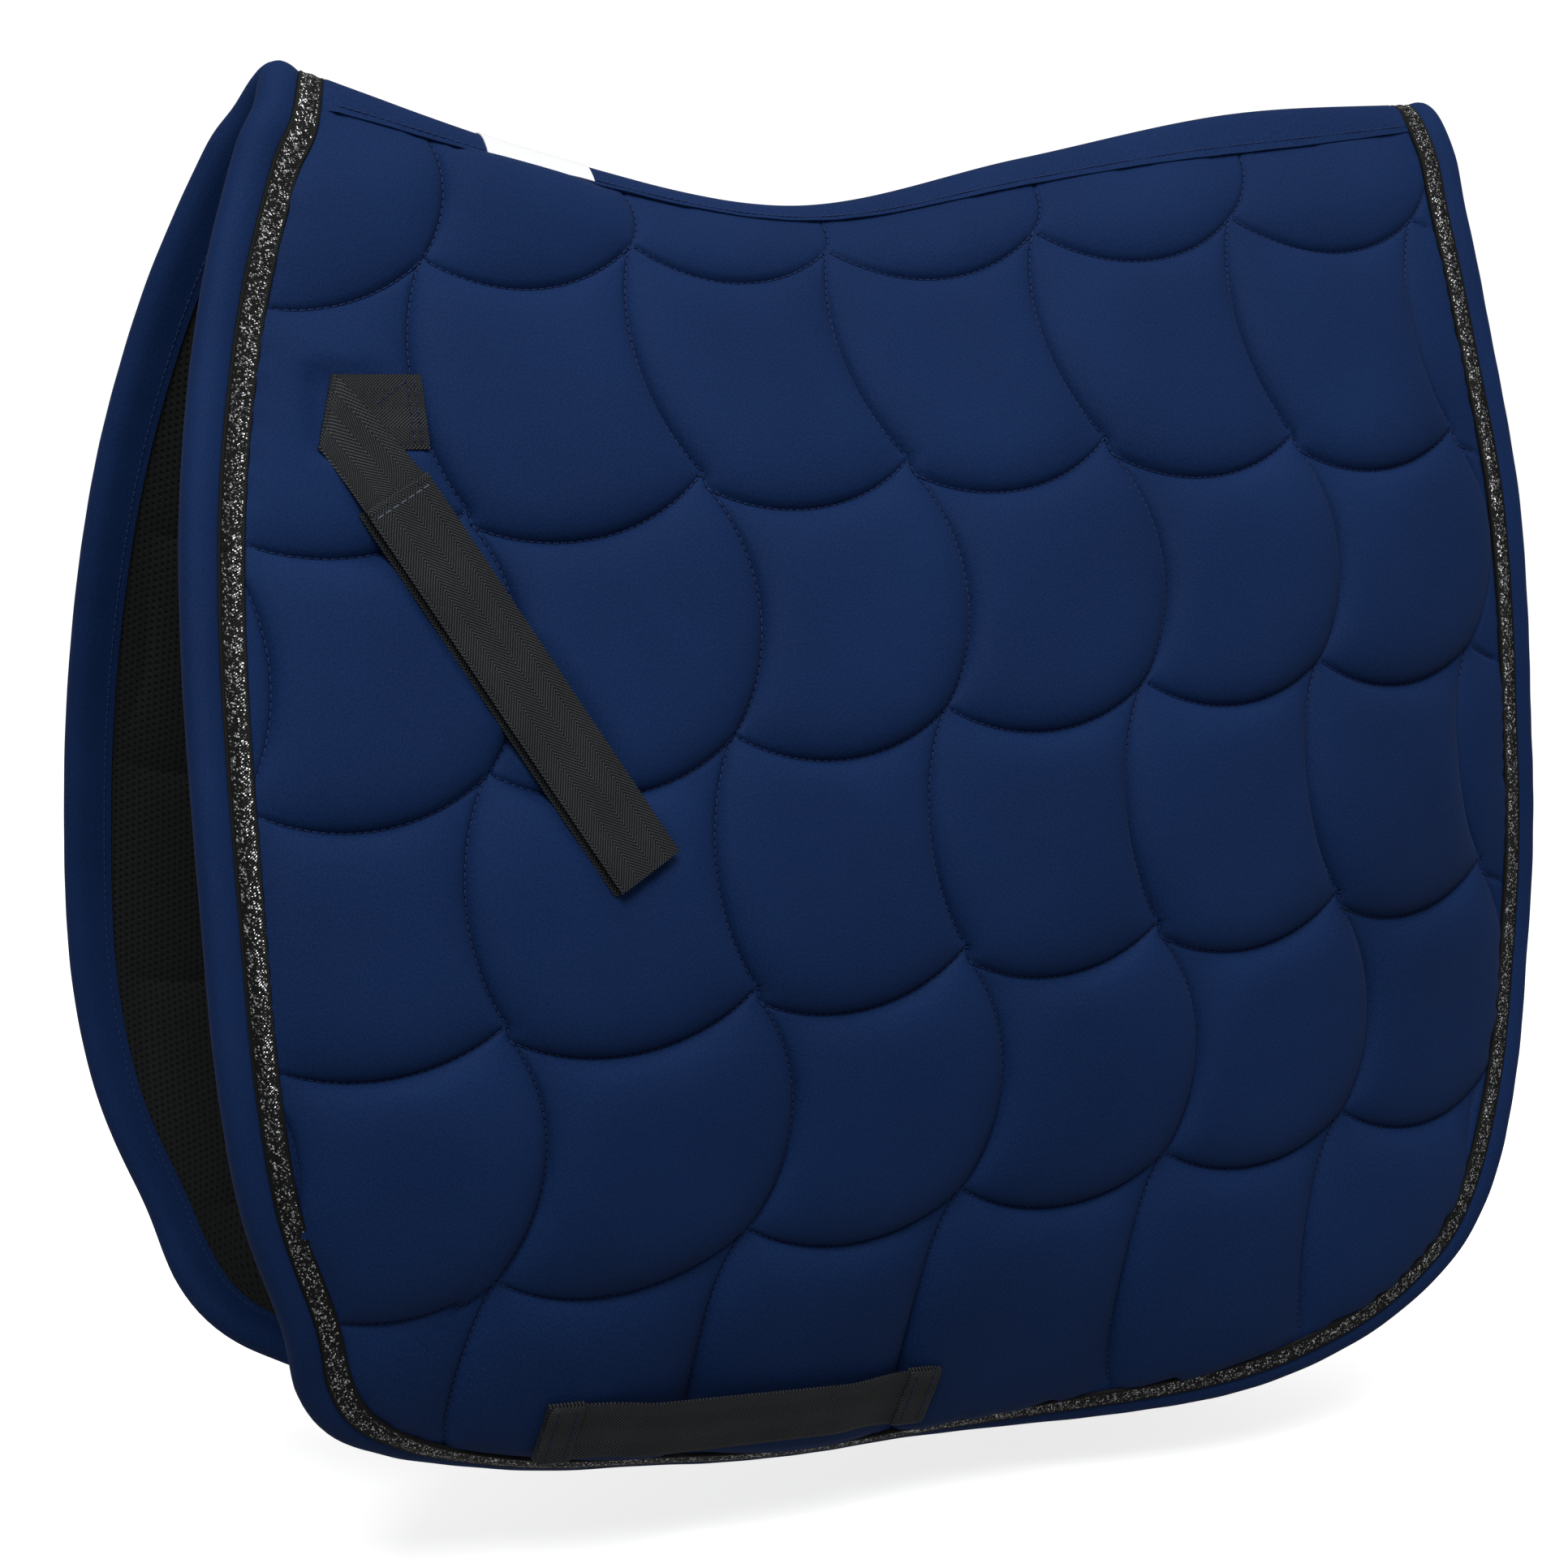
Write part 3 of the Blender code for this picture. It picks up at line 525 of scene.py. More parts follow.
@dataclass(frozen=True)
class SoftshellCloth:
    """Fine, slightly brushed navy cloth of the cover, binding and spine tape."""

    name: str = "navy_softshell"
    dark: tuple = (0.0026, 0.0120, 0.0500)
    light: tuple = (0.0070, 0.0255, 0.0960)
    thread: float = 0.75 * MM
    roughness: float = 0.72
    sheen: float = 0.03

    def material(self) -> Material:
        """Build the material."""
        n = Nodes(self.name)
        vector, along, across = n.uv()
        weave = n.times(n.wave(along, self.thread), n.wave(across, self.thread))
        fleck = n.noise(vector, 1100.0, 2.0)
        cloud = n.noise(vector, 9.0, 3.0)
        fuzz = n.noise(vector, 420.0, 3.0)
        tone = n.plus(n.times(n.level(fleck, 0.30, 0.70), 0.62),
                      n.times(n.level(cloud, 0.3, 0.7), 0.38))
        colour = n.mix(tone, self.dark, self.light)
        grain = n.plus(n.times(weave, 0.30), fuzz)
        rough = n.between(fleck, self.roughness - 0.05, self.roughness + 0.06)
        return n.shade({"Base Color": colour, "Roughness": rough, "Normal": n.bump(grain, 0.10 * MM),
                        "Sheen Weight": self.sheen, "Sheen Roughness": 0.45, "Sheen Tint": (0.35, 0.45, 0.9, 1.0),
                        "Specular IOR Level": 0.08})


@dataclass(frozen=True)
class HoneycombMesh:
    """Black spacer mesh of the lining, with rows of small hexagonal cells."""

    name: str = "black_honeycomb"
    cell: float = 2.6 * MM

    def material(self) -> Material:
        """Build the material."""
        n = Nodes(self.name)
        vector, along, across = n.uv()
        turn = math.tau / self.cell
        waves = []
        for degrees in (0.0, 60.0, 120.0):
            angle = math.radians(degrees)
            mixed = n.plus(n.times(along, math.cos(angle) * turn),
                           n.times(across, math.sin(angle) * turn))
            waves.append(n.math("COSINE", mixed))
        cells = n.plus(n.plus(waves[0], waves[1]), waves[2])
        hole = n.level(cells, 0.2, 2.2)
        fine = n.noise(vector, 900.0, 2.0)
        # Painted shade: the cells' holes are coloured darker than the mesh round them.
        colour = n.mix(n.times(hole, 0.85), (0.0085, 0.0095, 0.0100), (0.0012, 0.0014, 0.0016))
        below = n.bump(fine, 0.10 * MM)
        height = n.math("SUBTRACT", 1.0, hole)
        return n.shade({"Base Color": colour, "Roughness": n.level(fine, -1.8, 1.4),
                        "Normal": n.bump(height, 0.45 * MM, below), "Sheen Weight": 0.04,
                        "Sheen Roughness": 0.5, "Specular IOR Level": 0.15})


@dataclass(frozen=True)
class HerringboneWebbing:
    """Charcoal webbing: diagonal ribs that change direction from band to band, with a firm edge, and painted shade
    in the grooves between the ribs.
    """

    name: str = "charcoal_webbing"
    # dark is the painted shade in the grooves between the ribs, light the ribs' tops
    dark: tuple = (0.0006, 0.0008, 0.0010)
    light: tuple = (0.0490, 0.0545, 0.0625)
    band: float = 7.5 * MM
    rib: float = 1.30 * MM
    yarn: float = 0.62 * MM
    pick: float = 0.95 * MM
    relief: float = 0.34 * MM

    def material(self) -> Material:
        """Build the material."""
        n = Nodes(self.name)
        vector, along, across = n.uv()
        zigzag = n.math("PINGPONG", n.plus(across, 1.0 + self.band / 2), self.band)
        ribs = n.wave(n.plus(n.times(along, 0.80), zigzag), self.rib)
        bead = n.times(n.plus(n.wave(across, self.yarn), n.wave(along, self.pick)), 0.225)
        height = n.level(n.plus(ribs, bead), -1.3, 1.3)
        fuzz = n.noise(vector, 1500.0, 2.0)
        worn = n.noise(vector, 45.0, 3.0)
        # Painted shade: the colour follows the rib height, so the grooves are painted dark and the ribs light; the
        # worn noise and the fuzz add random tone on top.
        tone = n.times(height, n.between(worn, 0.72, 1.15))
        tone = n.plus(tone, n.times(n.math("SUBTRACT", fuzz, 0.5), 0.35))
        tone = n.math("POWER", n.math("MAXIMUM", tone, 0.0), 1.6)
        colour = n.mix(n.level(tone, 0.05, 1.05), self.dark, self.light)
        rough = n.between(height, 0.62, 0.42)
        return n.shade({"Base Color": colour, "Roughness": rough, "Normal": n.bump(height, self.relief),
                        "Specular IOR Level": 0.18})


@dataclass(frozen=True)
class GlitterBraid:
    """Flat black braid with a cord along each edge and silver glitter yarn down its middle, its glints painted as
    bright flakes.
    """

    name: str = "glitter_braid"
    width: float = 10.4 * MM
    cord: float = 1.5 * MM
    twill: float = 1.1 * MM
    flakes_per_metre: float = 1650.0

    def material(self) -> Material:
        """Build the material."""
        n = Nodes(self.name)
        vector, along, across = n.uv()
        off = n.math("ABSOLUTE", across)
        middle = n.math("LESS_THAN", off, self.width / 2 - self.cord)
        # Painted glints: a random share of the flakes in the middle gets a silver colour of random brightness and
        # the others the black ground; the glinting flakes are also metallic and smoother.
        specks = n.add("TexVoronoi", None, {"Vector": vector, "Scale": self.flakes_per_metre})
        tint = n.add("SeparateColor", None, {0: specks.outputs["Color"]})
        clump = n.noise(vector, 260.0, 2.0)
        share = n.plus(tint.outputs[0], n.times(n.math("SUBTRACT", clump, 0.5), 0.9))
        core = n.math("LESS_THAN", specks.outputs["Distance"], 0.62)
        glint_mask = n.times(n.times(n.math("GREATER_THAN", share, 0.68), middle), core)
        glint_level = n.math("POWER", tint.outputs[1], 1.6)
        flake = n.add("CombineColor", None, {0: glint_level, 1: glint_level, 2: glint_level}).outputs[0]
        # Painted shade: the twill's grooves are coloured darker, following the same wave as the bump.
        twill = n.level(n.wave(n.plus(along, off), self.twill), -1.0, 1.0)
        ground = n.mix(twill, (0.0015, 0.0016, 0.0018), (0.0080, 0.0085, 0.0090))
        colour = n.mix(glint_mask, ground, flake)
        rough = n.between(glint_mask, 0.55, 0.28)
        below = n.bump(twill, 0.20 * MM)
        lifted = n.bump(n.times(tint.outputs[2], middle), 0.35 * MM, below)
        return n.shade({"Base Color": colour, "Roughness": rough, "Normal": lifted,
                        "Metallic": n.times(glint_mask, 0.75), "Specular IOR Level": 0.15})


@dataclass(frozen=True)
class PileTape:
    """Hook-and-loop tape: a brushed loop pile, or rows of small hooks."""

    name: str
    hooks: bool
    row_gap: float = 1.5 * MM
    stem_gap: float = 1.3 * MM

    def material(self) -> Material:
        """Build the material."""
        n = Nodes(self.name)
        vector, along, across = n.uv()
        if self.hooks:
            height = n.level(n.times(n.wave(along, self.row_gap), n.wave(across, self.stem_gap)), 0.1, 0.8)
        else:
            height = n.noise(vector, 700.0, 5.0)
        # Painted shade: the colour follows the height, so the low pile and the gaps between the hooks are painted
        # darker.
        colour = n.mix(height, (0.0040, 0.0045, 0.0050), (0.0240, 0.0250, 0.0270))
        rough = n.between(height, 0.55, 0.85)
        return n.shade({"Base Color": colour, "Roughness": rough, "Normal": n.bump(height, 0.6 * MM)})


@dataclass(frozen=True)
class SewingThread:
    """Twisted polyester thread."""

    name: str
    colour: tuple
    shine: float

    def material(self) -> Material:
        """Build the material."""
        n = Nodes(self.name)
        fine = n.noise(n.place(), 2500.0, 1.0)
        dark = tuple(0.7 * c for c in self.colour)
        return n.shade({"Base Color": n.mix(fine, dark, self.colour), "Roughness": n.level(fine, -1.2, 1.8),
                        "Normal": n.bump(fine, 0.08 * MM), "Specular IOR Level": self.shine})


@dataclass(frozen=True)
class WovenLabel:
    """Plain white woven patch."""

    name: str = "plain_label"
    warp: float = 0.5 * MM
    weft: float = 0.4 * MM

    def material(self) -> Material:
        """Build the material."""
        n = Nodes(self.name)
        vector, along, across = n.uv()
        weave = n.level(n.times(n.wave(along, self.warp), n.wave(across, self.weft)), -1.0, 1.0)
        soil = n.noise(vector, 60.0, 3.0)
        colour = n.mix(n.times(weave, soil), (0.86, 0.87, 0.88), (0.74, 0.75, 0.77))
        return n.shade({"Base Color": colour, "Roughness": n.level(soil, -1.0, 1.6),
                        "Normal": n.bump(weave, 0.08 * MM), "Sheen Weight": 0.1})


@dataclass(frozen=True)
class PaddingFoam:
    """Open-cell foam and wadding."""

    name: str = "padding_foam"

    def material(self) -> Material:
        """Build the material."""
        n = Nodes(self.name)
        where = n.place()
        cells = n.add("TexVoronoi", None, {"Vector": where, "Scale": 900.0}).outputs["Distance"]
        cloud = n.noise(where, 30.0, 2.0)
        colour = n.mix(cloud, (0.72, 0.70, 0.62), (0.82, 0.80, 0.74))
        return n.shade({"Base Color": colour, "Roughness": n.level(cloud, -2.0, 1.0),
                        "Normal": n.bump(cells, 0.4 * MM)})


@dataclass(frozen=True)
class StudioPaper:
    """Pale seamless paper of the studio floor."""

    name: str = "studio_paper"

    def material(self) -> Material:
        """Build the material."""
        n = Nodes(self.name)
        tooth = n.noise(n.place(), 400.0, 2.0)
        colour = n.mix(tooth, (0.86, 0.86, 0.86), (0.90, 0.90, 0.90))
        return n.shade({"Base Color": colour, "Roughness": n.level(tooth, -3.0, 1.4),
                        "Emission Color": (1.0, 1.0, 1.0, 1.0), "Emission Strength": 0.74})


@dataclass(frozen=True)
class Wardrobe:
    """Every finish, made once."""

    cloth: Material
    tape: Material
    mesh: Material
    webbing: Material
    braid: Material
    loop: Material
    hook: Material
    thread: Material
    strap_thread: Material
    pale_thread: Material
    label: Material
    foam: Material

    @classmethod
    def filled(cls) -> "Wardrobe":
        """Make the finishes, in the order of the fields."""
        finishes = (SoftshellCloth(), SoftshellCloth("navy_tape_cloth"), HoneycombMesh(), HerringboneWebbing(),
                    GlitterBraid(), PileTape("loop_pile", False), PileTape("hook_rows", True),
                    SewingThread("navy_thread", (0.012, 0.028, 0.105), 0.2),
                    SewingThread("slate_thread", (0.008, 0.014, 0.050), 0.25),
                    SewingThread("pale_thread", (0.085, 0.110, 0.150), 0.45), WovenLabel(), PaddingFoam())
        return cls(*(finish.material() for finish in finishes))


# ---- Making pieces ----
def deselect() -> None:
    """Deselect everything, so that an operator acts on one piece only."""
    for obj in bpy.context.selected_objects:
        obj.select_set(False)


def pick_only(obj: Piece) -> None:
    """Make one piece the selected and active one."""
    deselect()
    obj.select_set(True)
    bpy.context.view_layer.objects.active = obj


def apply_modifier(obj: Piece, kind: str, settings: dict) -> None:
    """Add a modifier with its settings and apply it."""
    pick_only(obj)
    modifier = obj.modifiers.new(kind.title(), kind)
    for key, value in settings.items():
        setattr(modifier, key, value)
    bpy.ops.object.modifier_apply(modifier=modifier.name)


def new_piece(name: str, points: Array, faces: list) -> Piece:
    """A piece from points and faces, in the scene."""
    mesh = bpy.data.meshes.new(name)
    mesh.from_pydata(points.tolist(), [], faces)
    obj = bpy.data.objects.new(name, mesh)
    bpy.context.scene.collection.objects.link(obj)
    return obj


def lay_uv(mesh: bpy.types.Mesh, layer: bpy.types.MeshUVLoopLayer, across: Array, along: Array) -> None:
    """Give each corner of a mesh its point's place in the flat cloth, in metres."""
    corners = np.empty(len(mesh.loops), int)
    mesh.loops.foreach_get("vertex_index", corners)
    layer.data.foreach_set("uv", np.stack([across[corners], along[corners]], axis=1).ravel())


def woven_strip(name: str, length: float, width: float, cells: tuple,
                mapping: Callable[[Array, Array], Array]) -> Piece:
    """Weave a strip: a grid primitive laid out flat at its real size, then shaped.

    Args:
        name: The piece's name.
        length: Its length in metres.
        width: Its width in metres.
        cells: Cells along it and across it.
        mapping: Gives the place of each point from its way along (0 to length) and across (-width / 2 up).

    Returns:
        The piece, with a UV map in metres.
    """
    deselect()
    bpy.ops.mesh.primitive_grid_add(x_subdivisions=cells[0], y_subdivisions=cells[1], size=1.0, calc_uvs=True)
    obj = bpy.context.object
    obj.name = obj.data.name = name
    mesh = obj.data
    flat = np.empty(len(mesh.vertices) * 3)
    mesh.vertices.foreach_get("co", flat)
    flat = flat.reshape(-1, 3)
    along, across = (flat[:, 0] + 0.5) * length, flat[:, 1] * width
    mesh.vertices.foreach_set("co", mapping(along, across).ravel())
    mesh.uv_layers[0].name = "UVMap"
    lay_uv(mesh, mesh.uv_layers[0], along, across)
    mesh.update()
    return obj


def face_outward(obj: Piece, outward: Sequence[float] | Callable[[Array], Array],
                 thickness: float = 0.0) -> Piece:
    """Turn a sheet's faces so that they look the given way, and thicken it.

    Args:
        obj: The sheet, before it has a thickness.
        outward: The wanted direction, or a function that gives it at each face centre.
        thickness: The thickness it gets, inwards, if over 0.

    Returns:
        The sheet.
    """
    mesh = obj.data
    centres = np.array([p.center for p in mesh.polygons])
    normals = np.array([p.normal for p in mesh.polygons])
    wanted = outward(centres) if callable(outward) else np.array(outward)
    if float((normals * wanted).sum()) < 0:
        mesh.flip_normals()
        mesh.update()
    if thickness > 0:
        apply_modifier(obj, "SOLIDIFY", {"thickness": thickness, "offset": -1.0})
    return obj


def dress(obj: Piece, material: Material) -> Piece:
    """Give a piece its finish."""
    obj.data.materials.clear()
    obj.data.materials.append(material)
    return obj


def mirrored(obj: Piece, name: str) -> Piece:
    """A copy of a left piece for the right side, with its faces still outwards."""
    copy = obj.copy()
    copy.data = obj.data.copy()
    copy.name = copy.data.name = name
    bpy.context.scene.collection.objects.link(copy)
    copy.data.transform(Matrix.Diagonal((1, -1, 1, 1)))
    copy.data.flip_normals()
    copy.data.update()
    return copy


@dataclass
class Stitcher:
    """Sews rows of stitches: one stitch is modelled, then repeated along a seam."""

    length: float = 2.3 * MM
    pitch: float = 3.3 * MM
    radius: float = 0.30 * MM
    taper: float = 0.45            # how far the thread's ends draw in, reach out and dive, in radii
    tip: float = 0.9
    dive: float = 1.6
    points: Array = field(init=False)
    faces: list = field(init=False)

    def __post_init__(self) -> None:
        """Model the one stitch: a short thread whose ends dive into the cloth."""
        deselect()
        bpy.ops.mesh.primitive_cylinder_add(vertices=6, radius=self.radius, depth=self.length,
                                            rotation=(0, math.pi / 2, 0))
        obj = bpy.context.object
        bpy.ops.object.transform_apply(location=True, rotation=True, scale=True)
        bpy.ops.object.mode_set(mode="EDIT")
        bpy.ops.mesh.select_mode(type="FACE")
        bpy.ops.mesh.select_all(action="DESELECT")
        bpy.ops.object.mode_set(mode="OBJECT")
        for face in obj.data.polygons:
            face.select = len(face.vertices) == 6
        bpy.ops.object.mode_set(mode="EDIT")
        bpy.ops.mesh.inset(thickness=self.radius * self.taper, depth=self.radius * self.tip, use_individual=True)
        bpy.ops.object.mode_set(mode="OBJECT")
        self.points = np.array([v.co for v in obj.data.vertices])
        self.points[:, 2] -= (self.points[:, 0] / self.length) ** 2 * self.radius * self.dive
        self.faces = [tuple(f.vertices) for f in obj.data.polygons]
        mesh = obj.data
        bpy.data.objects.remove(obj)
        bpy.data.meshes.remove(mesh)

    def sew(self, name: str, seams: Sequence[tuple], material: Material) -> Piece:
        """Sew seams as one piece.

        Args:
            name: The piece's name.
            seams: For each seam, its points in space and the outward direction at each.
            material: The thread.

        Returns:
            The stitches of all the seams.
        """
        verts, faces = [], []
        for line, up in seams:
            length = way_along(line)
            count = int(length[-1] // self.pitch)
            if count < 1:
                continue
            at = (np.arange(count) + 0.5) * length[-1] / count
            centre, normal = read_line(at, length, line), read_line(at, length, up)
            axis = unit(read_line(at + 0.5 * MM, length, line) - read_line(at - 0.5 * MM, length, line))
            normal = unit(normal - axis * (normal * axis).sum(1)[:, None])
            square = np.cross(normal, axis)
            for c, a, s, n in zip(centre, axis, square, normal):
                start = len(verts) * len(self.points)
                verts.append(c + self.points @ np.stack([a, s, n]))
                faces.extend(tuple(i + start for i in f) for f in self.faces)
        obj = new_piece(name, np.vstack(verts), faces)
        pick_only(obj)
        bpy.ops.object.shade_smooth()
        return dress(obj, material)


@dataclass
class FoldZone:
    """Where cloth bends between the spine and a side."""

    start: float = 0.011
    end: float = 0.046

    def bend(self, obj: Piece) -> None:
        """Bake a piece's transform into its mesh."""
        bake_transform(obj)


FOLD = FoldZone()


# ---- The quilted sheets ----
@dataclass
class QuiltedSheets:
    """Cover, wadding and lining of a side, quilted together."""

    pattern: QuiltPattern
    spacing: float = 2.5 * MM
    rows: tuple = (1.3 * MM, 3.2 * MM, 6.2 * MM)
    field_spacing: float = 5.2 * MM
    loft: float = 8.2 * MM
    crown: float = 0.24
    cell_swell: float = 7.4e-4
    braid_line: float = 20.8 * MM
    crease_depth: float = 1.1 * MM
    edge_rise: float = 0.9 * MM    # how proud the cover stands at the braid's inner edge, and how far in that fades
    edge_fade: float = 9 * MM
    tape_fade: float = 34 * MM     # how far from the tape the scallops' swell differs
    full_scallop: tuple = (-0.190, -0.160, -0.100, -0.070)
    fuller: float = 0.30           # how much that scallop swells more by the tape, and the others less
    flatter: float = 0.62
    lining_levels: tuple = (-5.2 * MM, -7.3 * MM)
    lining_swell: float = 3.2 * MM
    wadding_gaps: tuple = (1.5 * MM, 1.4 * MM)
    ear: int = 8                   # most points of the outline that one triangle between them may skip
    cover_thickness: float = 1.0 * MM
    lining_thickness: float = 0.9 * MM
    x: Array = field(init=False)
    t: Array = field(init=False)
    depth: Array = field(init=False)
    swell: Array = field(init=False)
    sewn: Array = field(init=False)
    triangles: Array = field(init=False)
    rim: list = field(init=False)
    seam_lines: list = field(init=False)

    def __post_init__(self) -> None:
        """Cut the sheet, mark its seams, and work out how far it swells between them."""
        self.seam_lines = self.visible_seams()
        ring = self.outline()
        points, kinds = self.lattice(ring)
        self.cut(ring, points, kinds)

    def tape_reach(self, x: Array) -> Array:
        """The way down from the ridge that the spine tape covers."""
        return FORM.top_edge(x) + 3.5 * MM

    def visible_seams(self) -> list:
        """The seams as (x, t), without what lies under the tape, braid and binding."""
        lines = []
        for line in self.pattern.seams(self.spacing):
            t = FORM.way_down(line[:, 0], line[:, 1])
            inside = (line[:, 0] > FORM.spine_front - 0.07) & (line[:, 0] < FORM.spine_rear + 0.03)
            inside &= t > self.tape_reach(line[:, 0]) - 1.0 * MM
            inside &= EDGE.depth(line[:, 0], t) > self.braid_line - 2.0 * MM
            keep = np.stack([line[:, 0], t], axis=1)[inside]
            if len(keep) > 3:
                lines.append(keep)
        return lines

    def outline(self) -> Array:
        """The cut outline of the sheets: the cut edge, a little inside, closed along the top."""
        inner = EDGE.inset(2.5 * MM)
        top_front = inner[:, 1] < FORM.top_edge(inner[:, 0])
        inner = inner[~top_front]
        x = np.linspace(inner[-1, 0], inner[0, 0], 160)[1:-1]
        return np.vstack([inner, np.stack([x, FORM.top_edge(x)], axis=1)])

    def lattice(self, ring: Array) -> tuple:
        """The sheet's inner points: seams, rows beside them, and an even field between."""
        seam = np.vstack(self.seam_lines)
        beside = []
        for line in self.seam_lines:
            ahead = unit(np.gradient(line, axis=0))
            square = np.stack([-ahead[:, 1], ahead[:, 0]], axis=1)
            for gap in self.rows:
                beside += [line + square * gap, line - square * gap]
        x = np.arange(ring[:, 0].min(), ring[:, 0].max(), self.field_spacing)
        t = np.arange(0, ring[:, 1].max(), self.field_spacing * math.sqrt(3) / 2)
        gx, gt = np.meshgrid(x, t)
        gx[1::2] += self.field_spacing / 2
        groups = [seam] + beside + [np.stack([gx.ravel(), gt.ravel()], axis=1)]
        chosen, kinds = [], []
        tree = point_tree(seam)
        cells: dict = {}
        for number, group in enumerate(groups):
            if number == 0:
                least = 0.9 * MM
            elif number <= len(beside):
                least = self.rows[((number - 1) // 2) % 3] * 0.75
            else:
                least = self.rows[-1] + 2.0 * MM
            gap = {0: 0.9 * MM}.get(number, 1.6 * MM)
            for p in group:
                if number and tree.find((p[0], p[1], 0))[2] < least:
                    continue
                key = (int(p[0] // gap), int(p[1] // gap), min(number, 1))
                if key in cells:
                    continue
                cells[key] = True
                chosen.append(p)
                kinds.append(number == 0)
        points, kinds = np.array(chosen), np.array(kinds)
        keep = EDGE.depth(points[:, 0], points[:, 1]) > 4.2 * MM
        keep &= points[:, 1] > FORM.top_edge(points[:, 0]) + 1.5 * MM
        return points[keep], kinds[keep]

    def cut(self, ring: Array, points: Array, kinds: Array) -> None:
        """Join the points into one sheet of triangles and solve its swell."""
        every = np.vstack([ring, points])
        loop = list(range(len(ring)))[::-1]
        verts, _, faces, origin, _, _ = delaunay_2d_cdt([Vector(p) for p in every], [], [loop], 1, 1e-7, True)
        flat = np.array([tuple(v) for v in verts])
        self.x, self.t = flat[:, 0], flat[:, 1]
        self.triangles = np.array([tuple(f) for f in faces])
        a, b, c = (flat[self.triangles[:, k]] for k in range(3))
        area = ((b - a)[:, 0] * (c - a)[:, 1] - (b - a)[:, 1] * (c - a)[:, 0]) / 2
        around = np.array([min(sources, default=len(ring)) for sources in origin])[self.triangles]
        span = around.max(1) - around.min(1)
        stray = (around.max(1) < len(ring)) & (span > self.ear) & (span < len(ring) - self.ear)
        self.triangles = self.triangles[(np.abs(area) > 1e-9) & ~stray]
        sewn = np.zeros(len(flat), bool)
        for i, sources in enumerate(origin):
            sewn[i] = any(k >= len(ring) and kinds[k - len(ring)] for k in sources)
        self.sewn = sewn
        self.depth = EDGE.depth(self.x, self.t)
        held = sewn | (self.depth < self.braid_line) | (self.t < self.tape_reach(self.x))
        self.swell = self.solve(flat, held)
        edges = {}
        for tri in self.triangles:
            for k in range(3):
                pair = (tri[k], tri[(k + 1) % 3])
                edges[tuple(sorted(pair))] = None if tuple(sorted(pair)) in edges else pair
        self.rim = [pair for pair in edges.values() if pair is not None]

    def solve(self, flat: Array, held: Array) -> Array:
        """How far cloth held at its seams swells under even pressure, from 0 to about 1."""
        tri = self.triangles
        rows, cols, weights = [], [], []
        mass = np.zeros(len(flat))
        for k in range(3):
            i, j, o = tri[:, k], tri[:, (k + 1) % 3], tri[:, (k + 2) % 3]
            u, v = flat[i] - flat[o], flat[j] - flat[o]
            cross = np.abs(u[:, 0] * v[:, 1] - u[:, 1] * v[:, 0])
            weight = np.clip((u * v).sum(1) / np.maximum(cross, 1e-12) / 2, 0.01, 20)
            rows += [i, j]
            cols += [j, i]
            weights += [weight, weight]
            np.add.at(mass, i, cross / 6)
        rows, cols, weights = np.concatenate(rows), np.concatenate(cols), np.concatenate(weights)
        total = np.bincount(rows, weights, len(flat))
        free = ~held
        u = np.zeros(len(flat))

        def stiffness(v: Array) -> Array:
            """The membrane's pull at each free point."""
            return np.where(free, total * v - np.bincount(rows, weights * v[cols], len(flat)), 0)

        residual = np.where(free, mass, 0.0)
        scaled = residual / total
        direction = scaled.copy()
        size = residual @ scaled
        for _ in range(500):
            pull = stiffness(direction)
            step = size / (direction @ pull)
            u += step * direction
            residual = residual - step * pull
            scaled = np.where(free, residual / total, 0)
            new = residual @ scaled
            if new < 1e-16:
                break
            direction = scaled + direction * new / size
            size = new
        swollen = u / self.cell_swell
        return (1 - np.exp(-swollen / self.crown)) / (1 - math.exp(-1 / self.crown))

    def cover_heights(self) -> Array:
        """Height of the cover's outer face over the seam level."""
        edge = ramp(self.depth, self.braid_line + self.edge_fade, self.braid_line)
        front, full_front, full_rear, rear = self.full_scallop
        second = ramp(self.x, front, full_front) * ramp(self.x, rear, full_rear)
        near = ramp(self.t - self.tape_reach(self.x), self.tape_fade, 0.0)
        roof = 1 + near * (self.fuller * second - self.flatter * (1 - second))
        crease = np.where(self.sewn & (self.depth > self.braid_line), self.crease_depth, 0)
        return self.swell * self.loft * roof + edge * self.edge_rise - crease

    def lining_heights(self) -> Array:
        """Height of the lining's face on the horse's side."""
        edge = ramp(self.depth, 30 * MM, 16 * MM)
        inner, rim = self.lining_levels
        return inner * (1 - edge) + rim * edge - self.swell * self.lining_swell * (1 - 0.6 * edge)

    def sheet(self, name: str, heights: Array, outward: bool, thickness: float) -> Piece:
        """A sheet of a side at the given heights, facing out or towards the horse."""
        obj = new_piece(name, SHAPE.place(self.x, self.t, heights), self.triangles.tolist())
        lay_uv(obj.data, obj.data.uv_layers.new(name="UVMap"), self.x, self.t)
        return face_outward(obj, (0, -1 if outward else 1, 0), thickness)

    def block(self, name: str, upper: Array, lower: Array) -> Piece:
        """A closed slab between two heights."""
        count = len(self.x)
        points = np.vstack([SHAPE.place(self.x, self.t, upper), SHAPE.place(self.x, self.t, lower)])
        a, b, c = (points[self.triangles[:, k]] for k in range(3))
        facing = np.cross(b - a, c - a)[:, 1].sum() < 0
        top = self.triangles if facing else self.triangles[:, ::-1]
        faces = top.tolist() + (top[:, ::-1] + count).tolist()
        for i, j in self.rim:
            i, j = (i, j) if facing else (j, i)
            faces.append([j, i, i + count, j + count])
        return new_piece(name, points, faces)

    def stitch_lines(self) -> list:
        """Each seam's line in space with its outward directions, at the thread's height."""
        out = []
        for line in self.seam_lines:
            x, t = line[:, 0], line[:, 1]
            out.append((SHAPE.place(x, t, -0.25 * MM), SHAPE.place(x, t, MM) - SHAPE.place(x, t, 0.0)))
        return out


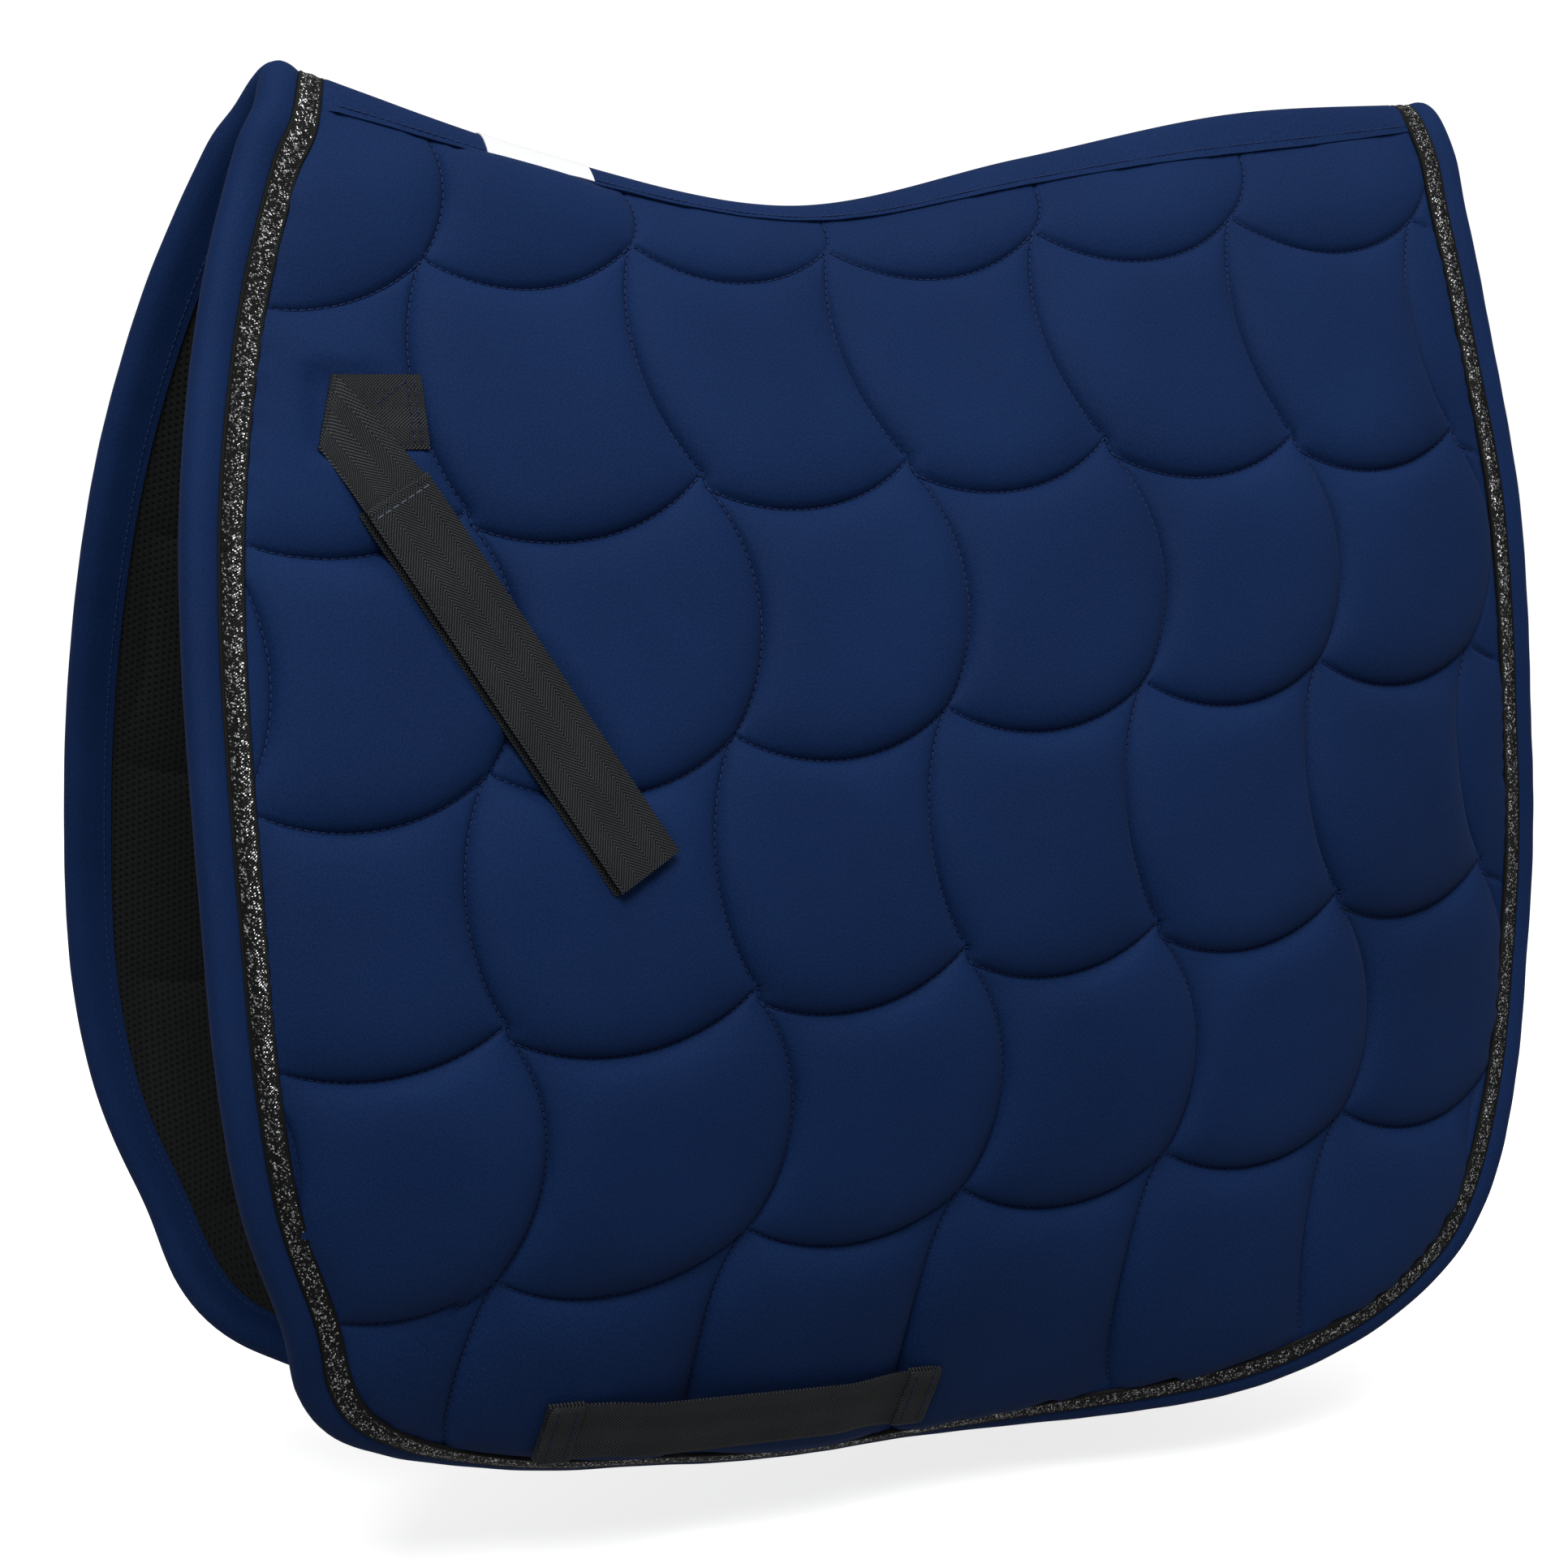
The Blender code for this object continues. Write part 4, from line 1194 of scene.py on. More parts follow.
@dataclass(frozen=True)
class Footprint:
    """A flat piece that lies on the cover and presses it down."""

    frame: Matrix
    low: tuple
    high: tuple
    slope: float = 1.1

    def press(self, sheets: QuiltedSheets, heights: Array) -> Array:
        """Lower the cover under the piece, with a soft edge round it."""
        inverse = self.frame.inverted()
        turn = np.array(inverse.to_3x3())
        shift = np.array(inverse.translation)
        base = SHAPE.place(sheets.x, sheets.t, 0.0) @ turn.T + shift
        rise = (SHAPE.place(sheets.x, sheets.t, MM) @ turn.T + shift - base) / MM
        low, high = np.array(self.low), np.array(self.high)
        away = np.linalg.norm(np.maximum(np.maximum(low - base[:, :2], base[:, :2] - high), 0), axis=1)
        room = (-0.25 * MM - base[:, 2]) / np.maximum(rise[:, 2], 0.3)
        limit = np.where(away < 0.02, room + away * self.slope, 1.0)
        return np.minimum(heights, np.maximum(limit, 0.6 * MM))


# ---- Edge trim ----
@dataclass
class EdgeTrim:
    """Binding and braid that run round a side's edge."""

    section: tuple = ((11.6, 1.3), (10.2, 2.3), (8.0, 3.3), (5.2, 3.9), (2.4, 3.6), (0.2, 2.4), (-1.3, 0.4),
                      (-2.0, -2.2), (-1.9, -4.8), (-0.9, -7.2), (1.2, -8.9), (4.2, -9.6), (8.2, -9.4),
                      (12.4, -8.9), (16.5, -8.5))
    braid_section: tuple = ((10.6, 1.3), (10.7, 2.3), (11.3, 2.9), (12.1, 2.6), (12.8, 2.5), (15.8, 3.0),
                            (18.8, 2.5), (19.5, 2.6), (20.3, 2.9), (20.9, 2.3), (21.0, 1.3))
    thickness: float = 1.0 * MM
    gather: float = 0.10 * MM
    seam_depth: float = 13.4 * MM
    seam_height: float = -9.0 * MM

    def run(self, name: str, section: tuple, cells: int, pucker: float) -> Piece:
        """A strip with the given cross-section along the whole edge."""
        points = np.array(section) * MM
        girth = way_along(points)
        width, total = float(girth[-1]), float(EDGE.along[-1])

        def mapping(along: Array, across: Array) -> Array:
            """Lay the strip along the cut edge."""
            x, t = read_line(along, EDGE.along, EDGE.path).T
            nx, nt = read_line(along, EDGE.along, EDGE.inward).T
            deep, height = read_line((across / width + 0.5) * width, girth, points).T
            wave = np.sin(along / (4.1 * MM) + 1.7 * np.sin(along / 0.031)) + np.sin(along / (9.7 * MM) + 1.1)
            height = height + pucker * wave * np.cos(np.clip(across / width, -0.5, 0.5) * math.pi)
            placed = SHAPE.place(x + nx * deep, np.maximum(t + nt * deep, 0), height)
            placed[:, 1] = np.minimum(placed[:, 1], -0.25 * MM)
            return placed

        obj = woven_strip(name, total, width, (int(total / (3.4 * MM)), cells), mapping)
        return face_outward(obj, lambda c: c * (1, 3, 1) + (-0.03, 0.20, 0.22), self.thickness)

    def line(self, deep: float, height: float) -> tuple:
        """A stitch line along the edge at a depth and height, with the direction away from the cloth."""
        path = EDGE.inset(deep)
        keep = path[:, 1] > 4 * MM
        x, t = path[keep, 0], path[keep, 1]
        sign = 1.0 if height > 0 else -1.0
        return SHAPE.place(x, t, height), (SHAPE.place(x, t, MM) - SHAPE.place(x, t, 0.0)) * sign


# ---- Webbing pieces ----
@dataclass(frozen=True)
class Band:
    """Sizes of the webbing."""

    width: float = 30.0 * MM
    thickness: float = 1.4 * MM
    cell: float = 2.0 * MM


BAND = Band()


def edge_round(across: Array, width: float, amount: float = 0.35 * MM) -> Array:
    """How far a ribbon's face drops towards its two long edges."""
    return -amount * np.clip((np.abs(across) / (width / 2) - 0.86) / 0.14, 0, 1) ** 2


@dataclass
class BilletStrap:
    """The doubled strap with its hook and loop tapes, and the anchor it hangs from."""

    length: float = 176.0 * MM
    hinge: tuple = (-0.20878, -0.07842, -0.10323)
    down: tuple = (0.50218, -0.219, -0.83657)
    outward: tuple = (-0.02907, -0.97113, 0.23678)
    stack: float = 5.9 * MM
    anchor_place: tuple = (-0.2125, -0.0755)
    anchor_height: float = 3.8 * MM
    fold_top: tuple = (-13.5, 15.0)
    fold_bottom: tuple = (-22.5, -15.0)
    tape_width: float = 26.0 * MM
    tab_length: float = 45.0 * MM
    tab_end: float = 22.5 * MM
    stub_length: float = 40.0 * MM
    hem: tuple = (1.6 * MM, 10.0 * MM, 3.2 * MM)      # over the end, turned in, and round the turn

    def frame(self) -> Matrix:
        """Strap frame: X down the strap, Z outward, origin under the sewn end."""
        down, normal = Vector(self.down).normalized(), Vector(self.outward).normalized()
        return square_frame(down, normal, Vector(self.hinge) - normal * self.stack)

    def anchor_frame(self) -> Matrix:
        """Anchor frame: X level along the pad, Y up, Z outward."""
        x = np.array([self.anchor_place[0]])
        t = FORM.way_down(x, np.array([self.anchor_place[1]]))
        normal = Vector(FORM.outward(x, t)[0])
        along = Vector((0, 0, 1)).cross(normal).normalized()
        return square_frame(along, normal, Vector(FORM.surface(x, t)[0]) + normal * self.anchor_height)

    def footprint(self) -> Footprint:
        """Where the strap lies on the cover."""
        return Footprint(self.frame(), (-3 * MM, -16 * MM), (self.length + MM, 16 * MM))

    def anchor_footprint(self) -> Footprint:
        """Where the anchor lies on the cover."""
        return Footprint(self.anchor_frame(), (-23 * MM, -15.5 * MM), (23 * MM, 15.5 * MM))

    def layer(self, name: str, width: float, low: float, thickness: float, start: float, shift: float,
              crown: float) -> Piece:
        """One layer of the strap, its outer face slightly crowned and wavy."""
        frame_matrix = self.frame()

        def mapping(along: Array, across: Array) -> Array:
            """Lay the layer on the strap."""
            wave = 0.18 * MM * np.sin(along / 0.021 + shift * 900)
            top = low + thickness + crown * (1 - (2 * across / width) ** 2) + wave + edge_round(across, width)
            return framed(frame_matrix, along + start, across + shift, top)

        length = self.length - start
        obj = woven_strip(name, length, width, (int(length / BAND.cell), 14), mapping)
        return face_outward(obj, self.outward, thickness)

    def turned_end(self, name: str) -> Piece:
        """The hem of the top strap: its end turned in under the webbing and sewn."""
        frame_matrix = self.frame()
        outer, _, arc = self.hem

        def mapping(along: Array, across: Array) -> Array:
            """Wrap the hem round the strap's end."""
            angle = np.clip((along - outer) / arc, 0, 1) * math.pi
            reach = np.maximum(outer - along, 0) + np.maximum(along - outer - arc, 0)
            x = reach - np.sin(angle) * 1.1 * MM + 1.2 * MM
            z = 5.0 * MM + np.cos(angle) * 1.02 * MM + edge_round(across, BAND.width) * np.cos(angle)
            return framed(frame_matrix, x, across, z)

        obj = woven_strip(name, sum(self.hem), BAND.width, (26, 14), mapping)
        centre = framed(frame_matrix, [0.004], [0.0], [0.005])
        return face_outward(obj, lambda c: (c - centre) @ np.outer(self.outward, self.outward)
                            * (np.abs((c - centre) @ np.array(self.down)) < 0.005)[:, None], 0.4 * MM)

    def anchor_tab(self, name: str) -> Piece:
        """The sewn part of the anchor: webbing from its sewn end to the diagonal fold."""
        frame_matrix = self.anchor_frame()
        (tx, ty), (bx, by) = self.fold_top, self.fold_bottom

        def mapping(along: Array, across: Array) -> Array:
            """Lay the tab flat, cut along the fold."""
            share = (across / MM - by) / (ty - by)
            left = (bx + (tx - bx) * share) * MM
            x = left + along / self.tab_length * (self.tab_end - left)
            top = 1.3 * MM + edge_round(across, BAND.width)
            return framed(frame_matrix, x, across, top)

        obj = woven_strip(name, self.tab_length, BAND.width, (24, 14), mapping)
        return face_outward(obj, self.outward, 1.2 * MM)

    def anchor_stub(self, name: str) -> Piece:
        """The part of the anchor that is folded over and leads down to the strap."""
        anchor, strap = self.anchor_frame(), self.frame()
        to_anchor = anchor.inverted() @ strap
        lower = [np.array(to_anchor @ Vector((3.0 * MM, s * 14.6 * MM, 3.0 * MM))) for s in (-1, 1)]
        (tx, ty), (bx, by) = self.fold_top, self.fold_bottom
        upper = [np.array([bx, by, 1.9]) * MM, np.array([tx + 1.0, ty, 1.9]) * MM]
        if lower[0][0] > lower[1][0]:
            lower.reverse()

        def mapping(along: Array, across: Array) -> Array:
            """Stretch the stub between the fold and the strap."""
            u = along / self.stub_length
            v = (across / BAND.width + 0.5)[:, None]
            first = upper[0] * (1 - v) + upper[1] * v
            last = lower[0] * (1 - v) + lower[1] * v
            eased = (u + 0.10 * np.sin(u * math.pi))[:, None]
            place = first * (1 - eased) + last * eased
            wrap = np.clip(1 - u / 0.06, 0, 1)
            place[:, 2] += 0.9 * MM - 1.6 * MM * wrap ** 2 + edge_round(across, BAND.width)
            place[:, 2] += 0.7 * MM * np.sin(np.clip(u, 0, 1) * math.pi)
            return framed(anchor, *place.T)

        obj = woven_strip(name, self.stub_length, BAND.width, (30, 14), mapping)
        return face_outward(obj, self.outward, 1.1 * MM)

    def stitches(self) -> list:
        """Seams across the strap's hem and on the anchor."""
        strap, anchor = self.frame(), self.anchor_frame()
        seams = []

        def seam(matrix: Matrix, points: Sequence[tuple]) -> None:
            """Add a seam through local points."""
            dense = []
            for a, b in zip(points, points[1:]):
                count = max(2, int(math.dist(a, b) / MM))
                dense += [np.array(a) + (np.array(b) - np.array(a)) * k / count for k in range(count)]
            dense.append(np.array(points[-1]))
            line = framed(matrix, *np.array(dense).T)
            seams.append((line, np.tile(np.array(matrix.col[2].xyz), (len(line), 1))))

        seam(strap, [(5.0 * MM, -13 * MM, 6.0 * MM), (5.0 * MM, 13 * MM, 6.0 * MM)])
        for x in (16.5, 19.5):
            seam(anchor, [(x * MM, -13 * MM, 1.5 * MM), (x * MM, 13 * MM, 1.5 * MM)])
        seam(anchor, [(16.5 * MM, 12.5 * MM, 1.5 * MM), (3.0 * MM, 3.0 * MM, 1.5 * MM)])
        return seams


@dataclass
class GirthKeeper:
    """The band for the girth, with its folded and sewn ends."""

    centre: tuple = (-0.0622, -0.0908, -0.4928)
    outward: tuple = (-0.01947, -0.89676, -0.44209)
    length: float = 185.0 * MM
    fold: float = 16.0 * MM
    rise: float = 34.0 * MM
    bow: float = 3.6 * MM
    tilt: float = math.radians(4.6)
    end_level: float = -8.7 * MM
    cap_rise: float = 3.0 * MM
    cap_overhang: float = 1.6 * MM
    corner: float = 3.0 * MM
    corner_cut: float = 2.2 * MM
    brim_drop: float = 0.9 * MM
    seam_insets: tuple = (4.2 * MM, 12.4 * MM)

    def frame(self) -> Matrix:
        """Keeper frame: X along the band to the tail, Z outward, origin on the band's middle inner face."""
        normal = Vector(self.outward).normalized()
        level = Vector((0, 0, 1)).cross(normal).normalized()
        along = Matrix.Rotation(-self.tilt, 3, normal) @ level
        return square_frame(along, normal, self.centre)

    def band_height(self, x: Array) -> Array:
        """Height of the band's outer face along its length, over the frame."""
        half = self.length / 2
        lift = ramp(np.abs(x), half - self.fold, half - self.fold - self.rise)
        return self.end_level + 1.8 * MM + (self.bow + 0.9 * MM) * lift

    def band(self, name: str) -> Piece:
        """The band itself."""
        frame_matrix = self.frame()

        def mapping(along: Array, across: Array) -> Array:
            """Bow the band off the pad between its ends."""
            x = along - self.length / 2
            edge = ramp(np.abs(x), self.length / 2 - self.fold, self.length / 2 - self.fold - 0.02)
            y = across * (1 - 0.035 * edge) + 1.2 * MM * edge
            sag = 0.5 * MM * np.sin(x / 0.030) * edge
            top = self.band_height(x) + edge_round(across, BAND.width) + sag * across / BAND.width
            return framed(frame_matrix, x, y, top)

        obj = woven_strip(name, self.length, BAND.width, (110, 16), mapping)
        return face_outward(obj, self.outward, BAND.thickness)

    def end(self, name: str, sign: int) -> Piece:
        """A folded end: the band's end turned in, as a rounded pad of webbing round the band."""
        frame_matrix = self.frame()
        width = BAND.width + self.cap_overhang

        def mapping(along: Array, across: Array) -> Array:
            """Lay the fold over the band's end, its corners rounded."""
            share = along / self.fold
            corner = np.clip((np.abs(across) - (width / 2 - self.corner)) / self.corner, 0, 1)
            outer = share if sign > 0 else 1 - share
            cut = corner ** 2 * np.clip((outer - 0.6) / 0.4, 0, 1) * self.corner_cut
            x = sign * (self.length / 2 - self.fold) + (along if sign > 0 else along - self.fold)
            x = x - sign * cut
            brim = np.clip((np.abs(share - 0.5) - 0.40) / 0.10, 0, 1)
            rim = np.clip((np.abs(across) / (width / 2) - 0.90) / 0.10, 0, 1)
            top = self.end_level + self.cap_rise - (brim ** 2 + rim ** 2) * self.brim_drop
            return framed(frame_matrix, x, across, top)

        obj = woven_strip(name, self.fold, width, (20, 22), mapping)
        return face_outward(obj, self.outward, 1.0 * MM)

    def base(self, name: str, sign: int) -> Piece:
        """The turned-in end under the band, sewn to the pad."""
        frame_matrix = self.frame()

        def mapping(along: Array, across: Array) -> Array:
            """Lay the turned-in end on the pad."""
            x = sign * (self.length / 2 - self.fold) + (along if sign > 0 else along - self.fold)
            top = np.full_like(x, self.end_level + 0.2 * MM)
            return framed(frame_matrix, x, across, top)

        obj = woven_strip(name, self.fold, BAND.width, (8, 14), mapping)
        return face_outward(obj, self.outward, 1.5 * MM)

    def stitches(self) -> list:
        """Two rows of stitches across each end."""
        matrix = self.frame()
        seams = []
        up = np.array(matrix.col[2].xyz)
        for sign in (-1, 1):
            for inset in self.seam_insets:
                y = np.linspace(-13.5 * MM, 13.5 * MM, 28)
                x = np.full_like(y, sign * (self.length / 2 - inset))
                line = framed(matrix, x, y, self.end_level + 3.15 * MM)
                seams.append((line, np.tile(up, (len(line), 1))))
        return seams


# ---- The spine ----
@dataclass
class SpineTrim:
    """Tape over the spine seam, its stitches, and the plain label."""

    reach: Callable[[Array], Array]
    front: float = -0.2190
    rear: float = 0.3360
    web_front: float = -0.2270
    web_rear: float = 0.3450
    width: float = 26.0 * MM
    web_width: float = 24.0 * MM
    crown: float = 1.3 * MM
    label_front: float = -0.144
    label_length: float = 47.0 * MM

    def over_ridge(self, x: Array, share: Array, height: Array) -> Array:
        """Points over the ridge: share runs from -1 on the left to 1 on the right."""
        way = np.abs(share) * self.reach(x)
        place = FORM.lifted(x, way, height)
        place[:, 1] *= np.where(share > 0, -1, 1)
        place[np.abs(share) < 1e-6, 1] = 0.0
        return place

    def strip(self, name: str, front: float, length: float, thickness: float, low: float, cells: int,
              narrow: float) -> Piece:
        """A strip over the ridge."""

        def mapping(along: Array, across: Array) -> Array:
            """Lay the strip over the ridge."""
            share = across / (self.width / 2)
            x = front + along
            gather = 0.12 * MM * np.sin(x / 0.0043 + 1.4 * np.sin(x / 0.017)) * np.abs(share)
            end = np.minimum(x - self.front, self.rear - x)
            height = low + self.crown * (1 - share ** 2) + gather - 1.3 * MM * ramp(end, 11 * MM, 6 * MM)
            return self.over_ridge(x, share * narrow, height)

        return face_outward(woven_strip(name, length, self.width, (cells, 14), mapping), (0, 0, 1), thickness)

    def stitch_lines(self) -> list:
        """Stitch lines along the tape beside its two edges, before and after the label."""
        label_rear = self.label_front + self.label_length
        runs = ((self.front + 12 * MM, self.label_front - MM), (label_rear + MM, self.rear - 11 * MM))
        lines = []
        for sign in (-1, 1):
            for front, rear in runs:
                x = np.linspace(front, rear, int((rear - front) / (2 * MM)))
                share = np.full_like(x, sign * 0.88)
                low, high = (self.over_ridge(x, share, np.full_like(x, h)) for h in (2.15 * MM, 3.15 * MM))
                lines.append((low, high - low))
        return lines

    def seam(self, name: str) -> Piece:
        """The bound seam allowance under the tape."""

        def mapping(along: Array, across: Array) -> Array:
            """Wrap a narrow web, down one side and up the other."""
            x = self.web_front + along
            u = across / self.web_width + 0.5
            side = np.where(u < 0.5, -1.0, 1.0)
            down = 10.5 * MM * np.abs(u - 0.5) * 2
            y = side * 0.7 * MM * np.clip(np.abs(u - 0.5) * 16, 0, 1)
            z = FORM.ridge(x) - 0.9 * MM - down
            return np.stack([x, y, z], axis=1)

        length = self.web_rear - self.web_front
        obj = woven_strip(name, length, self.web_width, (120, 16), mapping)
        return face_outward(obj, lambda c: c * (0, 1, 0), 0.5 * MM)


# ---- Putting the pad together ----
@dataclass
class SaddlePad:
    """Builds every piece and puts it on its body or bakes it in place."""

    finishes: Wardrobe
    quilt: QuiltedSheets
    trim: EdgeTrim
    strap: BilletStrap
    keeper: GirthKeeper
    stitcher: Stitcher

    @staticmethod
    def finish(obj: Piece, finish: Material, smooth: float) -> None:
        """Smooth a piece up to an angle in degrees, and give it its finish."""
        pick_only(obj)
        bpy.ops.object.shade_smooth_by_angle(angle=math.radians(smooth))
        dress(obj, finish)

    @staticmethod
    def place_pair(left: Piece, slot: str, nodes: Sequence[str] = (), body: str = "panel", bends: bool = False,
                   flat: tuple = (), held: str = "laid") -> list:
        """Mirror a left piece, put both on their bodies or bake them in place, and hide the nodes they stand for.

        Args:
            left: The finished left piece, named left_something.
            slot: The record's material slot; not used.
            nodes: The nodes it stands for, without the side's name.
            body: The body it rides on, without the side's name.
            bends: Whether it is baked in place instead of being put on its body.
            flat: The size it was cut to, where it is a sheet; not used.
            held: How the sheet is held; not used.

        Returns:
            The left and the right piece.
        """
        right = mirrored(left, left.name.replace("left_", "right_", 1))
        for obj, side in ((left, Side.LEFT), (right, Side.RIGHT)):
            if bends:
                FOLD.bend(obj)
            else:
                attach(obj, f"{side.label}_{body}")
            if nodes:
                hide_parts(*(f"{side.label}_{node}" for node in nodes))
            LOG.info("%s: %d faces", obj.name, len(obj.data.polygons))
        return [left, right]

    def build_sheets(self) -> None:
        """Cover, wadding, lining and the quilting's thread."""
        quilt, finishes = self.quilt, self.finishes
        heights = quilt.cover_heights()
        for print_ in (self.strap.footprint(), self.strap.anchor_footprint()):
            heights = print_.press(quilt, heights)
        lining = quilt.lining_heights()
        cover = quilt.sheet("left_quilted_cover", heights, True, quilt.cover_thickness)
        inner = quilt.sheet("left_mesh_lining", lining, False, quilt.lining_thickness)
        below, above = quilt.wadding_gaps
        wadding = quilt.block("left_foam_wadding", heights - below, lining + above)
        stitches = self.stitcher.sew("left_quilt_stitches", quilt.stitch_lines(), finishes.thread)
        for obj, finish in ((cover, finishes.cloth), (inner, finishes.mesh), (wadding, finishes.foam)):
            self.finish(obj, finish, 60.0)
        covers = self.place_pair(cover, "navy_cloth", ["outer_cover"], bends=True)
        linings = self.place_pair(inner, "mesh_lining", ["lining"], bends=True)
        waddings = self.place_pair(wadding, "foam", ["wadding"], bends=True)
        self.place_pair(stitches, "navy_cloth", bends=True)

    def build_trim(self) -> None:
        """Binding, braid and the binding's stitches."""
        trim, finishes = self.trim, self.finishes
        binding = trim.run("left_binding", trim.section, 26, trim.gather)
        braid = trim.run("left_braid", trim.braid_section, 20, 0.0)
        self.finish(binding, finishes.tape, 60.0)
        self.finish(braid, finishes.braid, 60.0)
        length = float(EDGE.along[-1])
        self.place_pair(binding, "navy_tape", ["edge_binding"], bends=True, flat=(0.036, length), held="folded")
        self.place_pair(braid, "braid", ["glitter_braid"], bends=True, flat=(0.013, length))
        seams = [trim.line(trim.seam_depth, trim.seam_height)]
        stitches = self.stitcher.sew("left_binding_stitches", seams, finishes.thread)
        self.place_pair(stitches, "navy_tape", bends=True)

    def build_strap(self) -> None:
        """The billet strap, its tapes and its anchor."""
        strap, finishes = self.strap, self.finishes
        wide, tape, cut = BAND.width, strap.tape_width, strap.length
        jobs = (
            (strap.layer("left_under_webbing", wide, 0.0, BAND.thickness, 0.0, -1.4 * MM, 0.0), "webbing",
             "under_strap", "under_strap", (wide, cut), finishes.webbing),
            (strap.layer("left_loop_pile", tape, 1.75 * MM, 0.9 * MM, 12.5 * MM, -0.6 * MM, 0.0), "loop_pile",
             "loop_tape", "under_strap", (tape, cut), finishes.loop),
            (strap.layer("left_hook_rows", tape, 3.0 * MM, 0.9 * MM, 12.5 * MM, 0.0, 0.0), "hook_tape",
             "hook_tape", "top_strap", (tape, cut), finishes.hook),
            (strap.layer("left_top_webbing", wide, 4.3 * MM, BAND.thickness, 1.2 * MM, 0.0, 0.25 * MM), "webbing",
             "top_strap", "top_strap", (wide, cut), finishes.webbing),
        )
        for obj, slot, node, body, flat, finish in jobs:
            self.finish(obj, finish, 50.0)
            self.place_pair(obj, slot, [node], body, flat=flat)
        hem = strap.turned_end("left_strap_hem")
        self.finish(hem, finishes.webbing, 50.0)
        self.place_pair(hem, "webbing", [], "top_strap", flat=(wide, sum(strap.hem)), held="folded")
        tab = strap.anchor_tab("left_anchor_tab")
        stub = strap.anchor_stub("left_anchor_fold")
        for obj, nodes in ((tab, ["billet_anchor"]), (stub, [])):
            self.finish(obj, finishes.webbing, 50.0)
            self.place_pair(obj, "webbing", nodes, flat=(wide, 42 * MM), held="folded")
        seams = strap.stitches()
        end = self.stitcher.sew("left_strap_stitches", seams[:1], finishes.pale_thread)
        self.place_pair(end, "webbing", [], "top_strap")
        rest = self.stitcher.sew("left_anchor_stitches", seams[1:], finishes.strap_thread)
        self.place_pair(rest, "webbing")

    def build_keeper(self) -> None:
        """The girth keeper."""
        keeper, finishes = self.keeper, self.finishes
        band = keeper.band("left_keeper_band")
        self.finish(band, finishes.webbing, 50.0)
        self.place_pair(band, "webbing", ["girth_keeper"], flat=(BAND.width, keeper.length), held="stretched")
        for sign, where in ((-1, "front"), (1, "rear")):
            cap = keeper.end(f"left_keeper_{where}_cap", sign)
            base = keeper.base(f"left_keeper_{where}_base", sign)
            for obj, nodes in ((cap, []), (base, [f"keeper_{where}_fold"])):
                self.finish(obj, finishes.webbing, 50.0)
                self.place_pair(obj, "webbing", nodes, flat=(BAND.width, keeper.fold), held="folded")
        sewn = self.stitcher.sew("left_keeper_stitches", keeper.stitches(), finishes.strap_thread)
        self.place_pair(sewn, "webbing")

    def build_spine(self) -> None:
        """Spine tape, seam and label."""
        spine, finishes = SpineTrim(self.quilt.tape_reach), self.finishes
        length = spine.rear - spine.front
        tape = spine.strip("spine_binding", spine.front, length, 1.1 * MM, 1.6 * MM, 190, 1.0)
        web = spine.seam("spine_web")
        label = spine.strip("plain_patch", spine.label_front, spine.label_length, 0.5 * MM, 2.3 * MM, 24, 0.97)
        for obj, node, finish, slot in ((tape, "spine_tape", finishes.tape, "navy_tape"),
                                        (web, "spine_seam", finishes.tape, "navy_tape"),
                                        (label, "label", finishes.label, "label_white")):
            self.finish(obj, finish, 60.0)
            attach(obj, "spine")
            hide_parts(node)
            LOG.info("%s: %d faces", obj.name, len(obj.data.polygons))
        stitches = self.stitcher.sew("spine_stitches", spine.stitch_lines(), finishes.thread)
        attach(stitches, "spine")


